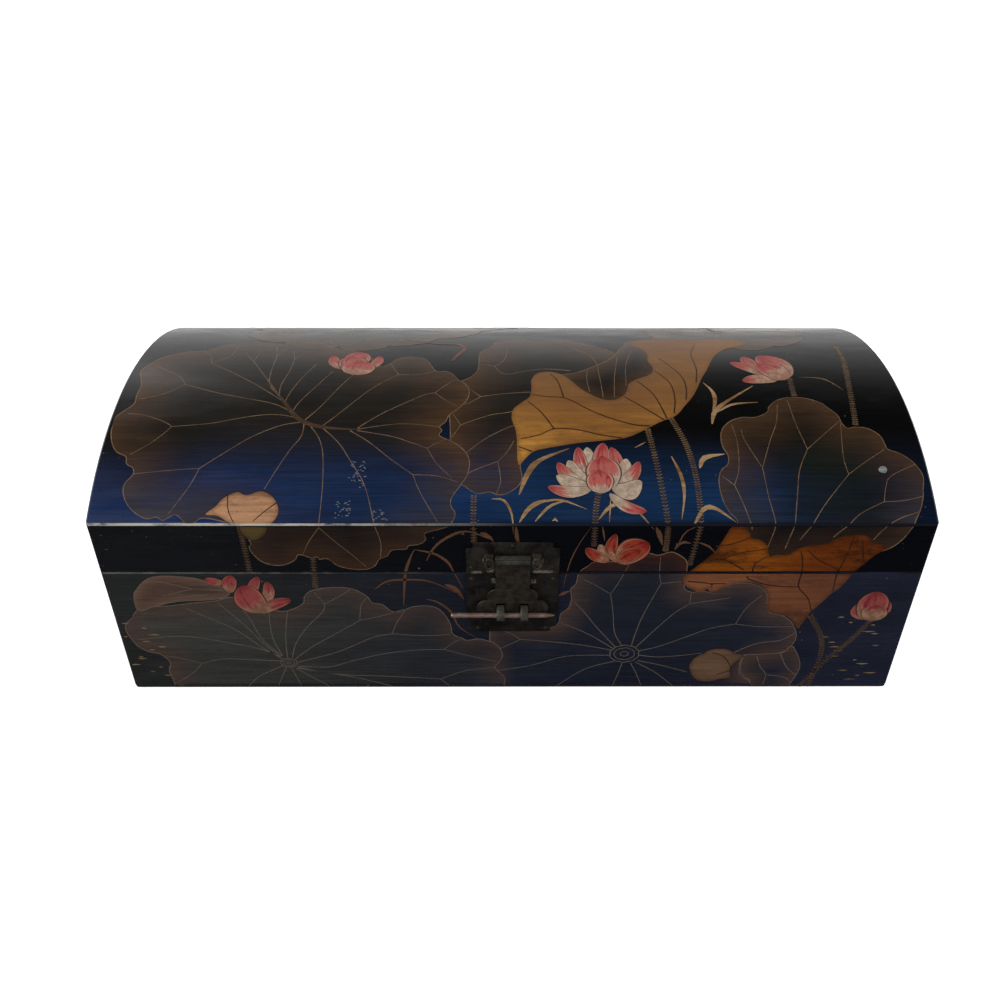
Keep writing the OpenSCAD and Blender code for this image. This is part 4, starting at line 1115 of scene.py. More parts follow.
draw_leaf(
    "base_middle_leaf",
    [(37, 91), (42, 96), (46.4, 99), (61.4, 99), (65.7, 102.4), (73, 105), (80, 103.4), (87, 105.6),
     (93, 102.4), (96.4, 98), (97, 88), (97, 80), (101.4, 76.7), (107, 77.5), (113, 76.7), (118.6, 80.3),
     (125.7, 83), (134.3, 83), (141.4, 79.6), (145, 73), (145.7, 66), (148.6, 61), (155.7, 59),
     (161.4, 54.6), (165, 49), (167, 43), (166.4, 37.4), (163.6, 31.7), (156, 28), (148, 27), (140, 18),
     (141, 8.9), (145.7, 4.6), (146, -8), (140, -30), (60, -30), (-14, -30), (-14, -8), (-13, 20),
     (-13, 40), (-11, 51), (2, 49.5), (16, 48), (24.3, 50.3), (27.4, 54.6), (28, 60.3), (32, 64.6),
     (33.6, 71.7), (33, 79), (35.7, 83)],
    [([(59, 31.7), (40, 36), (18.6, 39), (5, 40.3)], [(0, 44.6), (-10, 50.3)],
      [(-4, 34.5), (-10, 31.7)]), ([(59, 27.4), (44.3, 27.4), (30, 26), (11.4, 19), (-10, 14.6)],),
     ([(60, 33), (47, 43), (37, 49), (28.6, 53)],), ([(61.4, 34), (50, 49), (41.4, 61.7), (35.7, 69)],),
     ([(65, 35.3), (60, 46), (58, 61.7), (55.7, 75.3)], [(47, 81.7), (40, 86)],
      [(60, 84.6), (62.3, 91), (65.7, 100.3)]),
     ([(70.7, 35.3), (74.3, 54.6), (80, 73), (83.6, 83)], [(82, 90.3), (81.4, 102)], [(95, 84.6)]),
     ([(73.6, 34), (84.3, 49), (93, 60.3), (101.4, 68)], [(101.4, 76.5)], [(113, 70.3), (124, 72.4)]),
     ([(75.7, 31), (87, 34.6), (101.4, 41.7), (115.7, 49), (130, 52.4)], [(134.3, 64.6), (142, 74.6)],
      [(144.3, 50.3), (164.3, 50.6)]), ([(75.7, 27.4), (90, 26), (113, 29)],),
     ([(75.7, 23), (90, 19), (106, 13.5)],), ([(74.3, 21.7), (87, 13), (100, 0.2)],),
     ([(71.4, 21), (75.7, 11.7), (80, 0.2)],), ([(66.4, 21), (64, 10), (61.4, 0.2)],),
     ([(61.4, 22.4), (47, 17.4), (37, 10.3), (26.4, 0.2)],),
     ([(131.4, 29), (144.3, 36.7), (158.6, 39.6), (166.4, 46)],),
     ([(133, 27.4), (147, 28), (161.4, 29), (165, 33)],), ([(137.5, 26), (137, 17.4), (138.6, 10.3)],)],
    base_wash, UNDER_LIFT, ((67.1, 28.6), 7.2),
)


# %% [markdown]
# ## Turned and golden leaves
#
# Some leaves are seen from the side, folded over, or already golden. Each is drawn from its own outline
# and the few veins that show. The low gold leaf crosses the seam and is painted in two tones, browner
# below.

# %% Outlined leaves
def draw_shape(name, points, material, lift, veins, vein_paint=None, width=0.8, rim=None, bands=None):
    outline = smooth_outline(points)
    body = new_plan()
    wash(body, outline, lift, cell=3.2)
    lay(body, name, material, bands=bands)
    if veins or rim:
        lines = new_plan()
        for path in veins:
            stroke(lines, path, width, lift + VEIN_STEP, (1.1, 0.9, 0.7))
        if rim:
            draw_rim(lines, outline, rim, lift + VEIN_STEP)
        lay(lines, f"{name}_veins", vein_paint or dark_line, bands=bands)


draw_shape(
    "folded_leaf_inside",
    [(30, 232), (40, 218), (46, 211), (56, 206), (66, 210), (72, 222), (85, 232), (90, 251), (87, 270),
     (78, 282), (70, 270), (63, 255), (53, 245), (40, 236)],
    inside_wash, OVER_LIFT,
    [[(53.5, 211), (53, 228), (52.5, 245)], [(46, 216), (45, 228), (46, 238)],
     [(68, 222), (70, 244), (76, 266)], [(60, 211), (62, 232), (66, 256)]],
    tan_line, 0.4, 0.5,
)
draw_shape(
    "folded_gold_leaf",
    [(3.3, 160.3), (7.5, 165), (11.7, 169.2), (20, 171.7), (36.7, 175), (50, 176.7), (63.3, 178.7),
     (71.7, 182.5), (78.3, 186.7), (85, 190.8), (94.2, 195.8), (100, 203.3), (105.8, 211.7), (110, 220),
     (114.2, 230), (119.2, 240), (123.3, 250), (128.3, 259.2), (136.7, 268.3), (146.7, 273.3),
     (152, 280), (145, 286), (132, 288), (118, 286), (103, 288), (88, 286), (77, 281.7), (77.5, 273.3),
     (83.3, 266.7), (85, 258.3), (84.2, 250), (86.2, 242.5), (85, 235.8), (80.8, 231.7), (75.8, 229.2),
     (70, 224.2), (68.3, 218.3), (65.8, 213.3), (60.8, 209.2), (53.3, 209.2), (45.8, 214.2), (40, 220),
     (35.8, 226.7), (30.8, 233.3), (23.3, 236.7), (15.8, 235), (12, 228.3), (11.7, 220), (10.5, 211.7),
     (5.8, 206.7), (0.8, 200.8), (-0.3, 193.3), (1.7, 185), (2.5, 176.7), (2.5, 168.3)],
    dome_gold, GOLD_LIFT,
    [[(78.3, 187.5), (70, 188.3), (56.7, 193.3), (45, 200), (31.7, 210), (20, 211.7), (11.7, 213.8)],
     [(30.3, 210.8), (27.5, 226.7), (23.3, 234.2)], [(23.7, 185.3), (16.7, 198.3), (9.2, 207.5)],
     [(61.7, 178.7), (50, 180.8), (36.7, 184.7), (23.7, 185.3), (15, 180.8), (4.7, 178)],
     [(10.8, 169.2), (3.3, 172.5)], [(87.5, 191.7), (76.7, 201.7), (65.8, 211.7)],
     [(88.7, 193.3), (83.3, 213.3), (75, 226.7)],
     [(93.3, 197.5), (95.3, 210), (94.2, 225), (86.7, 238.3)],
     [(101.7, 209), (103.3, 220), (101.7, 233.3), (91.7, 253.3)],
     [(110, 225), (112.5, 240), (112.5, 260), (118, 276)]],
)
LOW_GOLD = [
    (118, 123), (124.3, 123.3), (128, 119), (129.3, 115.3), (134.3, 114), (138, 111), (140, 106.7),
    (141.4, 102.6), (144.3, 103.4), (152, 104), (156.4, 108), (163, 110), (171.4, 111.7), (176.4, 115.3),
    (183, 117.4), (191.4, 117), (197, 112.4), (205, 109), (200, 104), (194.3, 96.7), (190, 90.3),
    (185.7, 81), (181.4, 76), (177, 69), (172, 61.7), (168, 51), (166.5, 49.5), (160, 57.4),
    (154.3, 59.6), (148, 61.7), (145, 65.5), (145.7, 70), (143.6, 77.4), (140, 81.7), (133, 84),
    (123, 82.4), (117, 79), (113, 76), (110, 79), (107, 76.7), (103, 78), (98, 81), (95.7, 86),
    (97, 90.3), (100.7, 94), (104.3, 98), (107, 101), (110.7, 106), (113.6, 112.4), (115.7, 118),
]
draw_shape(
    "low_gold_leaf", LOW_GOLD, wall_gold, GOLD_LIFT,
    [[(128.6, 93), (116.4, 100.3), (108.6, 99.6)], [(116.4, 100.3), (123, 104.6), (138.6, 107.7)],
     [(110.7, 109.6), (118.6, 111), (128.6, 115.3)], [(133.6, 91.7), (134.3, 97.4), (140, 102.4)],
     [(161.4, 91), (160, 100.3), (158, 106)], [(181.4, 91.7), (180, 94), (168.6, 100.3), (161.4, 107.4)],
     [(181.4, 91.7), (184.3, 106), (185, 116.7)], [(195, 96.7), (193, 103), (190, 114.6)]],
    bands=LID_ONLY,
)
draw_shape(
    "low_gold_leaf", LOW_GOLD, base_gold, GOLD_LIFT,
    [[(131.4, 88.5), (133, 86), (145.7, 81.7), (161.4, 80.6)],
     [(161.4, 90), (161.4, 80.6), (168.6, 71.7), (172, 62)], [(181, 90), (181.4, 77.4)],
     [(98.6, 84.6), (111.4, 83), (112, 80)], [(111.4, 83), (120, 83)]],
    bands=BASE_ONLY,
)
draw_shape(
    "crease_gold_leaf",
    [(-166, 130), (-161, 135), (-157, 140), (-150, 143.5), (-145, 141.5), (-137, 144), (-130, 140),
     (-126.5, 133), (-128, 127), (-133, 124.2), (-150, 124.2), (-159, 129)],
    pale_gold, TOP_LEAF_LIFT,
    [[(-155, 142), (-154, 133), (-150, 125)], [(-128, 137), (-134, 132), (-140, 126)]],
    dark_line, 0.6, 0.5,
)
draw_shape(
    "small_dull_leaf",
    [(-147, 123.5), (-134, 123.5), (-133, 120), (-136, 116), (-141, 113.8), (-145, 116)],
    dull_gold, BLOSSOM_LIFT, [], dark_line, rim=0.4,
)
draw_shape(
    "base_gold_leaf",
    [(107, 17.4), (108, 23), (111.4, 27.4), (114.3, 29), (117, 31.7), (123, 33), (128.6, 32), (133, 29),
     (138, 28), (137, 24.6), (133, 19.6), (132, 14.6), (133, 9), (127, 7.4), (121.4, 5.3), (114.3, 6),
     (110, 9.6)],
    low_pale_gold, TOP_LEAF_LIFT,
    [[(119.3, 29.6), (127, 26), (133, 16)], [(124.3, 11), (133, 15.3)]],
    dark_line, 0.6, 0.4,
)
draw_shape(
    "base_turned_leaf",
    [(-214.5, 74), (-211, 80), (-205, 86), (-198, 88.5), (-188, 88.5), (-177, 87), (-168, 83),
     (-160, 78), (-163, 73), (-174, 71), (-190, 70), (-204, 66.5), (-214, 63)],
    turned_wash, FOLD_LIFT,
    [[(-163, 78), (-180, 79), (-198, 74)], [(-180, 79), (-192, 83), (-200, 85)],
     [(-172, 75), (-190, 73)]],
    tan_line, 0.5, 0.45,
)
draw_shape(
    "base_corner_leaf",
    [(139, 27), (147, 28), (161, 29.5), (165.7, 34.6), (170.7, 27.4), (173.6, 19), (173, 11.7),
     (170.7, 4.6), (168, -6), (164, -20), (148, -20), (145.7, 4.6), (141.4, 9), (138, 16)],
    base_wash, OVER_LIFT,
    [[(146.4, 26.7), (150, 17.4), (154.3, 11), (153, 0.4)], [(154.3, 11), (165.7, 9), (170, 5)],
     [(160, 29), (165.7, 17.4), (173, 10.3)]],
    tan_line, 0.5, 0.55,
)


# %% [markdown]
# ## Blossoms and buds
#
# A blossom is a fan of petals from one foot. The far petals are painted first and the near ones over
# them, so each petal is raised a little more than the last.

# %% Blossoms
def draw_blossom(name, petals, material, bands=None, surface=on_front):
    body = new_plan()
    for k, (foot, tip, width, curve, tint) in enumerate(petals):
        petal(body, foot, tip, width, BLOSSOM_LIFT + PETAL_STEP * k, curve, tint)
    lay(body, name, material, surface, bands)


draw_blossom(
    "open_blossom",
    [((46, 149), (41.5, 172.5), 9, -1, -0.3), ((42, 148), (36.5, 172.5), 8.5, -1.5, 0.36),
     ((59, 151), (55, 172.5), 7.5, 1, 0.45), ((45.5, 150), (51, 175.5), 10.5, 0.5, 0.42),
     ((42, 148), (30.5, 163.5), 9, -2, -0.3), ((40, 147), (24.5, 162), 8.5, -2.5, 0.34),
     ((55, 148), (63.5, 164.5), 9.5, 2, -0.3), ((56, 147), (70.5, 162.5), 8, 2.5, 0.38),
     ((42, 146), (23.5, 153.5), 9, -1.5, -0.3), ((43, 145), (18.5, 146.5), 7.5, -2.5, 0.3),
     ((54, 145), (71, 149.5), 12, 3.5, -0.2), ((52.5, 142), (72.5, 131.5), 7, 2.5, 0.4),
     ((50.5, 144.5), (49.5, 166), 21, 0, 0.5), ((48, 142.5), (47.5, 157), 16.5, 0, 0.62)],
    open_petals,
)
draw_blossom(
    "upper_right_blossom",
    [((152.5, 235), (143.5, 256.5), 10.5, -1, 0.4), ((155, 232), (134, 248.5), 9.5, 1, 0.36),
     ((159, 228), (137.5, 227), 10, 1.5, 0.25), ((165, 229), (154, 258), 21, 2.5, 0.42),
     ((164.5, 228.5), (151, 247), 19, 1.5, 0.36)],
    pink_petals,
)
draw_blossom(
    "upper_left_blossom",
    [((-103.5, 240), (-110, 257), 8, -1.5, 0.45), ((-86, 240), (-81, 256.5), 7.5, 1.5, 0.5),
     ((-96, 243), (-93.5, 262.5), 18, 0, 0.4), ((-97, 238), (-99, 256), 19, 1, 0.4),
     ((-94, 233), (-92, 249.5), 23, 0, 0.5)],
    pink_petals,
)
draw_blossom(
    "lid_wall_blossom",
    [((54, 101), (47, 111), 6.5, -1, -0.3), ((53, 99), (39.5, 108.5), 7.5, -1, 0.45),
     ((57, 98.5), (55.5, 118.5), 7.5, -2.5, 0.4), ((58, 99), (74.5, 112), 18, -1.5, 0.5),
     ((58, 98.5), (70, 107), 10.5, -0.5, 0.6)],
    red_petals, bands=LID_ONLY,
)
draw_blossom(
    "base_blossom",
    [((-148, 72), (-142, 88.5), 7, -1, 0.3), ((-141, 68), (-137.5, 85), 7.5, 1.5, 0.25),
     ((-143.5, 61.5), (-152.5, 82), 19, -1.5, 0.5), ((-144, 61.5), (-125.5, 71.5), 8, -1.5, 0.4)],
    low_petals, bands=BASE_ONLY,
)
draw_blossom(
    "base_loose_petals",
    [((-162, 83.5), (-172.5, 86.5), 6, -0.5, 0.5), ((-160, 76.5), (-157, 89.4), 9, -0.5, 0.45)],
    low_petals, bands=BASE_ONLY,
)
draw_blossom(
    "base_bud",
    [((203.5, 56), (199, 69.5), 9, -2.5, 0.5), ((209, 56.5), (213.5, 72), 9, 2.5, 0.4),
     ((206, 55.5), (207, 77.5), 20, 0, 0.42), ((207.5, 55), (209, 67), 17, 0.5, 0.1)],
    low_petals, bands=BASE_ONLY,
)
far_strokes = new_plan()
far_path = [(-68, 286), (-60, 282), (-46, 277), (-34, 276), (-29, 268), (-34, 256), (-36, 250)]
stroke(far_strokes, far_path, 2.4, BLOSSOM_LIFT, (0.3, 0.7, 1.0, 1.1, 0.8))
lay(far_strokes, "far_petals", petal_line)


# %% [markdown]
# ## Stems, grass and water
#
# Lotus stems are prickly. Each is a dark stroke with a row of short slanting ticks on both sides. Blades
# of grass are single strokes, pressed in the middle, and the water is a scatter of short level dashes.

# %% Stems
STEM_WIDTH = 1.2
PRICKLE_STEP = 1.55
PRICKLE_ROOT = 0.35
PRICKLE_REACH = 1.05
PRICKLE_SLANT = 0.5
PRICKLE_WIDTH = 0.5
NEARBY = 0.01


def draw_stem(stems, prickles, path):
    stroke(stems, path, STEM_WIDTH, STEM_LIFT, (1.0, 1.0))
    length = sum(math.dist(path[k], path[k + 1]) for k in range(len(path) - 1))
    count = max(3, int(length / PRICKLE_STEP))
    for k in range(count):
        share = (k + 0.5) / count
        centre = path_point(path, share)
        before = path_point(path, max(share - NEARBY, 0))
        after = path_point(path, min(share + NEARBY, 1))
        ahead = (after - before).normalized()
        aside = Vector((ahead.y, -ahead.x))
        for side in (-1, 1):
            near = centre + aside * side * STEM_WIDTH * PRICKLE_ROOT
            far = centre + aside * side * (STEM_WIDTH * 0.5 + PRICKLE_REACH) - ahead * PRICKLE_SLANT
            tick = [near, (near + far) / 2, far]
            stroke(prickles, tick, PRICKLE_WIDTH, STEM_LIFT + LINE_STEP, (1.0, 0.7), cell=5)


def draw_stems(names, paths, surface=on_front, bands=None, half_width=PAINTED_HALF_LENGTH):
    stems = new_plan()
    prickles = new_plan()
    for path in paths:
        draw_stem(stems, prickles, path)
    lay(stems, names[0], stem_paint, surface, bands, half_width)
    lay(prickles, names[1], prickle_paint, surface, bands, half_width)


front_stems = [
    [(-147, 123), (-146.6, 108), (-146.2, 90)], [(-110, 102), (-110.6, 90), (-111, 80)],
    [(-21.3, 141.4), (-21.5, 128), (-21.3, 112)], [(47.5, 146), (45, 135), (44, 122), (44.3, 109.5)],
    [(76.7, 185), (80, 158.3), (83.3, 125), (83.6, 106)],
    [(90.8, 194), (97.5, 173.3), (100.8, 150), (101, 125), (98, 96)],
    [(166.7, 229.5), (166, 220), (165.8, 212)], [(207, 272), (205, 250), (200, 220), (195.8, 188)],
    [(172, 59), (181.4, 43), (184.3, 26), (181.4, 0.5)],
    [(208, 55.5), (200, 40.3), (190, 26), (175.7, 0.5)],
]
draw_stems(("stems", "stem_prickles"), front_stems)

# %% Grass
PRESSED = (0.2, 0.9, 1.1, 0.6, 0.1)


def draw_grass(name, blades, share=1.0, surface=on_front, bands=None, half_width=PAINTED_HALF_LENGTH):
    grass = new_plan()
    for path, width in blades:
        stroke(grass, path, width * share, GRASS_LIFT, PRESSED)
    lay(grass, name, grass_paint, surface, bands, half_width)


blades = [
    ([(3.3, 125.6), (8.3, 133.3), (15, 137.5), (23.3, 138.3)], 3.6),
    ([(15, 137.5), (26, 138.5), (40, 133)], 1.6), ([(11.7, 126), (20, 135), (30, 138.3)], 2.2),
    ([(3.3, 141.7), (8.3, 155), (15, 163.3), (31.7, 171.3)], 4.6),
    ([(88.3, 166), (92.5, 153.3), (93.3, 141.7), (90.8, 127)], 2.8),
    ([(103.3, 158), (106.7, 165), (118.3, 167.5)], 4.2),
    ([(114, 189), (116.7, 198.3), (123.3, 205.8), (143.3, 222)], 4.0),
    ([(118.3, 198.3), (128.3, 205), (143.3, 206.7)], 2.2),
    ([(116, 200), (118.5, 208), (118.3, 216.7), (114.2, 225)], 3.4),
    ([(45.8, 127), (53.3, 135), (63.3, 135.8), (76, 121)], 3.0), ([(51.7, 125.6), (53.3, 141.7)], 1.2),
    ([(96.7, 123), (103.3, 133.3), (110, 133.3), (120, 125.6)], 3.6),
    ([(68.3, 171.7), (72, 174), (75, 175.8)], 1.4), ([(173, 231), (187, 229), (196, 218)], 0.8),
    ([(-11.7, 139.2), (-5, 138.3), (-0.8, 130), (0, 118)], 2.0),
    ([(1.5, 123), (2, 116), (3.5, 110)], 3.0),
    ([(-47.7, 99.6), (-42, 110.3), (-32, 118), (-23.4, 119.6), (-12, 114)], 2.2),
    ([(-18, 118.8), (-14, 117), (-10.6, 113)], 4.2),
    ([(-62, 67), (-60, 89), (-57, 100.3), (-54, 107.4)], 2.4),
    ([(-54, 107.4), (-43.4, 104.6), (-36.3, 99), (-33.4, 93), (-27.7, 79)], 2.2),
    ([(-77.7, 79), (-70.6, 84.6), (-60.6, 86), (-46.3, 84.6), (-27.7, 74)], 1.8),
    ([(-38, 82.5), (-32, 79), (-27.7, 71.7)], 4.2),
    ([(-49, 71.7), (-42, 69), (-35, 61.7), (-30.6, 50.3), (-20.6, 41.7)], 1.8),
    ([(28.6, 80.3), (31.4, 97.4), (35.7, 110.3), (42, 123)], 0.9),
    ([(48, 123), (49, 118), (50, 113)], 1.6), ([(77, 122.4), (79.5, 117), (81.4, 110.3)], 3.6),
    ([(88.6, 107.4), (91.4, 112.4), (97, 111.7)], 3.2),
    ([(100.7, 112.4), (107, 109.6), (111.4, 104.6)], 1.6), ([(90, 110.3), (93, 119), (98.6, 123)], 1.2),
    ([(-223, 107.4), (-222, 107.6), (-221, 107.4)], 0.8), ([(28, 60), (33, 64), (34.5, 74)], 1.2),
    ([(26, 74), (29, 76), (33, 78)], 3.0), ([(21, 126.5), (22.5, 127.5), (24, 126)], 2.2),
]
draw_grass("grass", blades, 0.7)

# %% Water
WATER_WIDTH = 0.9
WATER_LIFT = 0.085
water = new_plan()
dice = random.Random(5)
for low_u, high_u, low_v, high_v, count in ((184, 219, 5, 58, 18), (-227, -206, 8, 54, 13)):
    for k in range(count):
        u = dice.uniform(low_u, high_u)
        v = low_v + (high_v - low_v) * (k + dice.uniform(0.1, 0.9)) / count
        half = dice.uniform(1.2, 4.0)
        path = [(u - half, v), (u, v + dice.uniform(-0.3, 0.3)), (u + half, v)]
        stroke(water, path, WATER_WIDTH, WATER_LIFT, (0.2, 1.0, 0.2))
lay(water, "water", water_paint)

# %% Scuffs
scuff_paint = opaque_paint("scuff_paint", 0.15, colour(128, 130, 130), colour(96, 100, 106), 0.5, 400)
scuffs = new_plan()
dice = random.Random(21)
scuff_patches = [(-96, -88, 127, 138, 26), (-76, -66, 127, 133, 16), (-90, -81, 146, 163, 34)]
for low_u, high_u, low_v, high_v, count in scuff_patches:
    for k in range(count):
        u = dice.uniform(low_u, high_u)
        v = dice.uniform(low_v, high_v)
        half = dice.uniform(0.25, 0.7)
        path = [(u - half, v), (u + half, v + dice.uniform(-0.3, 0.3))]
        stroke(scuffs, path, dice.uniform(0.3, 0.7), BLOSSOM_LIFT, (0.6, 1.0))
chip_rim = [(202, 156.4), (203.2, 159), (205.8, 159.2), (206.8, 157), (205, 155)]
wash(scuffs, smooth_outline(chip_rim), CHIP_LIFT)
lay(scuffs, "scuffs", scuff_paint)


# %% [markdown]
# ## The back and the ends
#
# The photograph shows only the front. Such chests usually carry a plainer version of the same pond all
# round, so the back gets three leaves, a golden one, a blossom, a bud and some grass, and each end a
# leaf with a bud. Nothing can be read off here, so these leaves are grown from numbers: a heart, a list
# of reaches at equal turns, and the turns at which the rim is notched. The veins follow from the same
# numbers, so they always meet the rim.

# %% A leaf grown from numbers
RIM_STEPS = 180
LOBE_DEPTH = 0.09
FORK_AT = 0.72
POND_VEIN_WIDTH = 0.55
POND_RIM_WIDTH = 0.58
POND_LINE_LIFT = 0.085
POND_HEART_LIFT = 0.09


def leaf_rim(radii, notches):
    marks = sorted(notches)

    def reach(degrees):
        degrees = degrees % 360
        before = max([m for m in marks if m <= degrees] or [marks[-1] - 360])
        after = min([m for m in marks if m > degrees] or [marks[0] + 360])
        share = (degrees - before) / (after - before)
        lobe = 1 - LOBE_DEPTH * (1 - math.sin(math.pi * share) ** 0.5)
        slow = math.sin(math.radians(19 * degrees))
        fast = math.sin(math.radians(43 * degrees))
        return ring_value(radii, degrees / 360) * lobe * (1 + 0.007 * slow + 0.005 * fast)
    return reach


def around(hub, reach, degrees, share):
    turn = math.radians(degrees)
    far = reach(degrees) * share
    return hub[0] + far * math.cos(turn), hub[1] + far * math.sin(turn)


def leaf_outline(hub, reach):
    return [around(hub, reach, 360 * k / RIM_STEPS, 1.0) for k in range(RIM_STEPS)]


def draw_veins(plan, hub, reach, notches, dice, width, lift):
    marks = sorted(notches)
    for k, mark in enumerate(marks):
        following = marks[(k + 1) % len(marks)] + (360 if k + 1 == len(marks) else 0)
        middle = (mark + following) / 2
        fork = FORK_AT + dice.uniform(-0.05, 0.06)
        end = around(hub, reach, middle, fork)
        aside = dice.uniform(-2, 2)
        turn = math.radians(middle)
        halfway = (
            (hub[0] + end[0]) / 2 + math.sin(turn) * aside,
            (hub[1] + end[1]) / 2 - math.cos(turn) * aside,
        )
        stroke(plan, [hub, halfway, end], width, lift, (1.15, 0.9, 0.75))
        for target in (mark, following):
            branch = [
                end,
                around(hub, reach, middle + (target - middle) * 0.42, fork + (1 - fork) * 0.42),
                around(hub, reach, middle + (target - middle) * 0.86, 0.985),
            ]
            stroke(plan, branch, width * 0.85, lift, (0.9, 0.8, 0.7))


def on_back(u, v, lift):
    return on_front(-u, PLAN_HEIGHT - v, lift)


def draw_pond_leaf(
    name, hub, radii, notches, material, seed, surface, bands=front_bands, half_width=PAINTED_HALF_LENGTH
):
    reach = leaf_rim(radii, notches)
    outline = leaf_outline(hub, reach)
    body = new_plan()
    wash(body, outline, LEAF_LIFT)
    lay(body, name, material, surface, bands, half_width)
    lines = new_plan()
    draw_veins(lines, hub, reach, notches, random.Random(seed), POND_VEIN_WIDTH, POND_LINE_LIFT)
    draw_rim(lines, outline, POND_RIM_WIDTH, POND_LINE_LIFT)
    ringed_heart(lines, hub, 6.0, POND_HEART_LIFT)
    lay(lines, f"{name}_veins", tan_line, surface, bands, half_width)


# %% Leaves and blossoms of the back
draw_pond_leaf(
    "back_high_leaf", (88, 168), [84, 92, 76, 70, 66, 74, 88, 96, 80, 66, 60, 70],
    [14, 44, 72, 100, 131, 160, 188, 214, 246, 279, 306, 338], dome_wash, 31, on_back,
)
draw_pond_leaf(
    "back_low_leaf", (-82, 30), [112, 96, 74, 60, 62, 80, 104, 92, 60, 50, 56, 88],
    [8, 31, 54, 80, 108, 136, 158, 182, 215, 250, 290, 332], left_base_wash, 32, on_back,
)
draw_pond_leaf(
    "back_small_leaf", (-138, 196), [46, 52, 44, 40, 46, 54, 58, 50, 40, 36, 38, 42],
    [20, 58, 92, 130, 168, 205, 248, 290, 330], dome_wash, 33, on_back,
)

back_gold_rim = [
    (166, 28), (158, 34), (150, 33), (146, 41), (150, 50), (146, 58), (152, 68), (162, 70), (166, 79),
    (177, 84), (188, 80), (197, 86), (208, 80), (209, 70), (216, 62), (213, 50), (216, 40), (208, 30),
    (197, 32), (190, 26), (182, 31), (174, 25),
]
back_gold = new_plan()
wash(back_gold, smooth_outline(back_gold_rim, 4), GOLD_LIFT)
lay(back_gold, "back_gold_leaf", base_gold, on_back)
back_gold_veins = new_plan()
draw_forks(
    back_gold_veins,
    [([(180, 46), (168, 45), (159, 42)], [(152, 36)], [(151, 49)]),
     ([(180, 46), (168, 55), (160, 61)], [(153, 60)], [(161, 69)]),
     ([(180, 46), (178, 60), (176, 72)], [(168, 78)], [(186, 80)]),
     ([(180, 46), (192, 58), (198, 70)], [(197, 83)], [(208, 72)]),
     ([(180, 46), (196, 48), (206, 49)], [(213, 56)], [(213, 44)]), ([(180, 46), (190, 38), (198, 34)],),
     ([(180, 46), (176, 36), (172, 28)],)],
    0.9, GOLD_LIFT + VEIN_STEP,
)
lay(back_gold_veins, "back_gold_veins", dark_line, on_back)

draw_blossom(
    "back_blossom",
    [((-8, 150), (-18, 171), 9, -1.5, 0.4), ((4, 150), (14, 172), 9, 1.5, 0.4),
     ((-2, 150), (-2, 176), 11, 0, 0.45), ((-7, 149), (-28, 160), 9, -2, 0.3),
     ((4, 149), (26, 160), 9, 2, 0.3), ((-6, 147), (-30, 147), 7, -2.5, 0.34),
     ((4, 147), (28, 146), 7, 2.5, 0.34), ((-4, 147), (-11, 164), 11, -1, 0.6),
     ((2, 147), (8, 164), 11, 1, 0.6), ((-1, 145), (-1, 159), 15, 0, 0.66)],
    open_petals, surface=on_back,
)
draw_blossom(
    "back_bud",
    [((24, 72), (15, 88), 8, -3, 0.5), ((26, 72), (34, 88), 8, 3, 0.6),
     ((25, 71), (25, 88.5), 12, 0, 0.55)],
    low_petals, surface=on_back,
)

back_paths = [
    [(-1, 145), (2, 120), (-4, 96), (2, 60), (0, 0.5)], [(25, 71), (22, 48), (28, 24), (26, 0.5)],
    [(-138, 196), (-134, 160), (-140, 128)], [(180, 46), (172, 24), (174, 0.5)],
]
draw_stems(("back_stems", "back_prickles"), back_paths, on_back)

back_blades = [
    ([(-30, 126), (-24, 142), (-40, 154)], 2.0), ([(-26, 126), (-14, 138), (-10, 150)], 1.8),
    ([(40, 60), (46, 78), (62, 86)], 1.8), ([(44, 58), (52, 70), (70, 72)], 1.8),
    ([(-186, 128), (-190, 146), (-204, 152)], 2.0), ([(188, 126), (196, 144), (212, 150)], 2.2),
    ([(184, 126), (186, 148), (178, 164)], 2.2), ([(118, 6), (124, 26), (140, 34)], 1.8),
    ([(-208, 8), (-202, 30), (-212, 46)], 1.8), ([(126, 96), (134, 108), (148, 112)], 1.6),
]
draw_grass("back_grass", back_blades, surface=on_back)


# %% Ends
def mirrored(points, turn):
    return [(turn * u, v) for u, v in points]


end_bud = [
    ((-58, 104), (-66, 119), 8, -2, 0.5), ((-56, 104), (-47, 119), 8, 2, 0.5),
    ((-57, 103), (-57, 122), 12, 0, 0.6),
]
end_stem = [(-57, 103), (-62, 70), (-56, 36), (-60, 4.5)]
end_blades = [
    ([(-72, 6), (-80, 34), (-98, 44)], 2.0), ([(-68, 6), (-70, 40), (-84, 62)], 2.0),
    ([(70, 98), (76, 110), (66, 124)], 1.8), ([(66, 96), (60, 112), (46, 122)], 1.8),
]
for side, surface, seed, turn in (("left_end", on_left_end, 41, 1), ("right_end", on_right_end, 42, -1)):
    on_side = (surface, end_bands, PAINTED_HALF_DEPTH)
    draw_pond_leaf(
        f"{side}_leaf", (turn * 22, 48), [78, 74, 62, 56, 58, 72, 84, 76, 54, 44, 44, 62],
        [18, 50, 84, 118, 150, 181, 214, 250, 290, 332], base_wash, seed, *on_side,
    )
    bud = [(*mirrored([foot, tip], turn), *rest) for foot, tip, *rest in end_bud]
    draw_blossom(f"{side}_bud", bud, low_petals, bands=end_bands, surface=surface)
    draw_stems((f"{side}_stems", f"{side}_prickles"), [mirrored(end_stem, turn)], *on_side)
    grass = [(mirrored(path, turn), width) for path, width in end_blades]
    draw_grass(f"{side}_grass", grass, 1.0, *on_side)
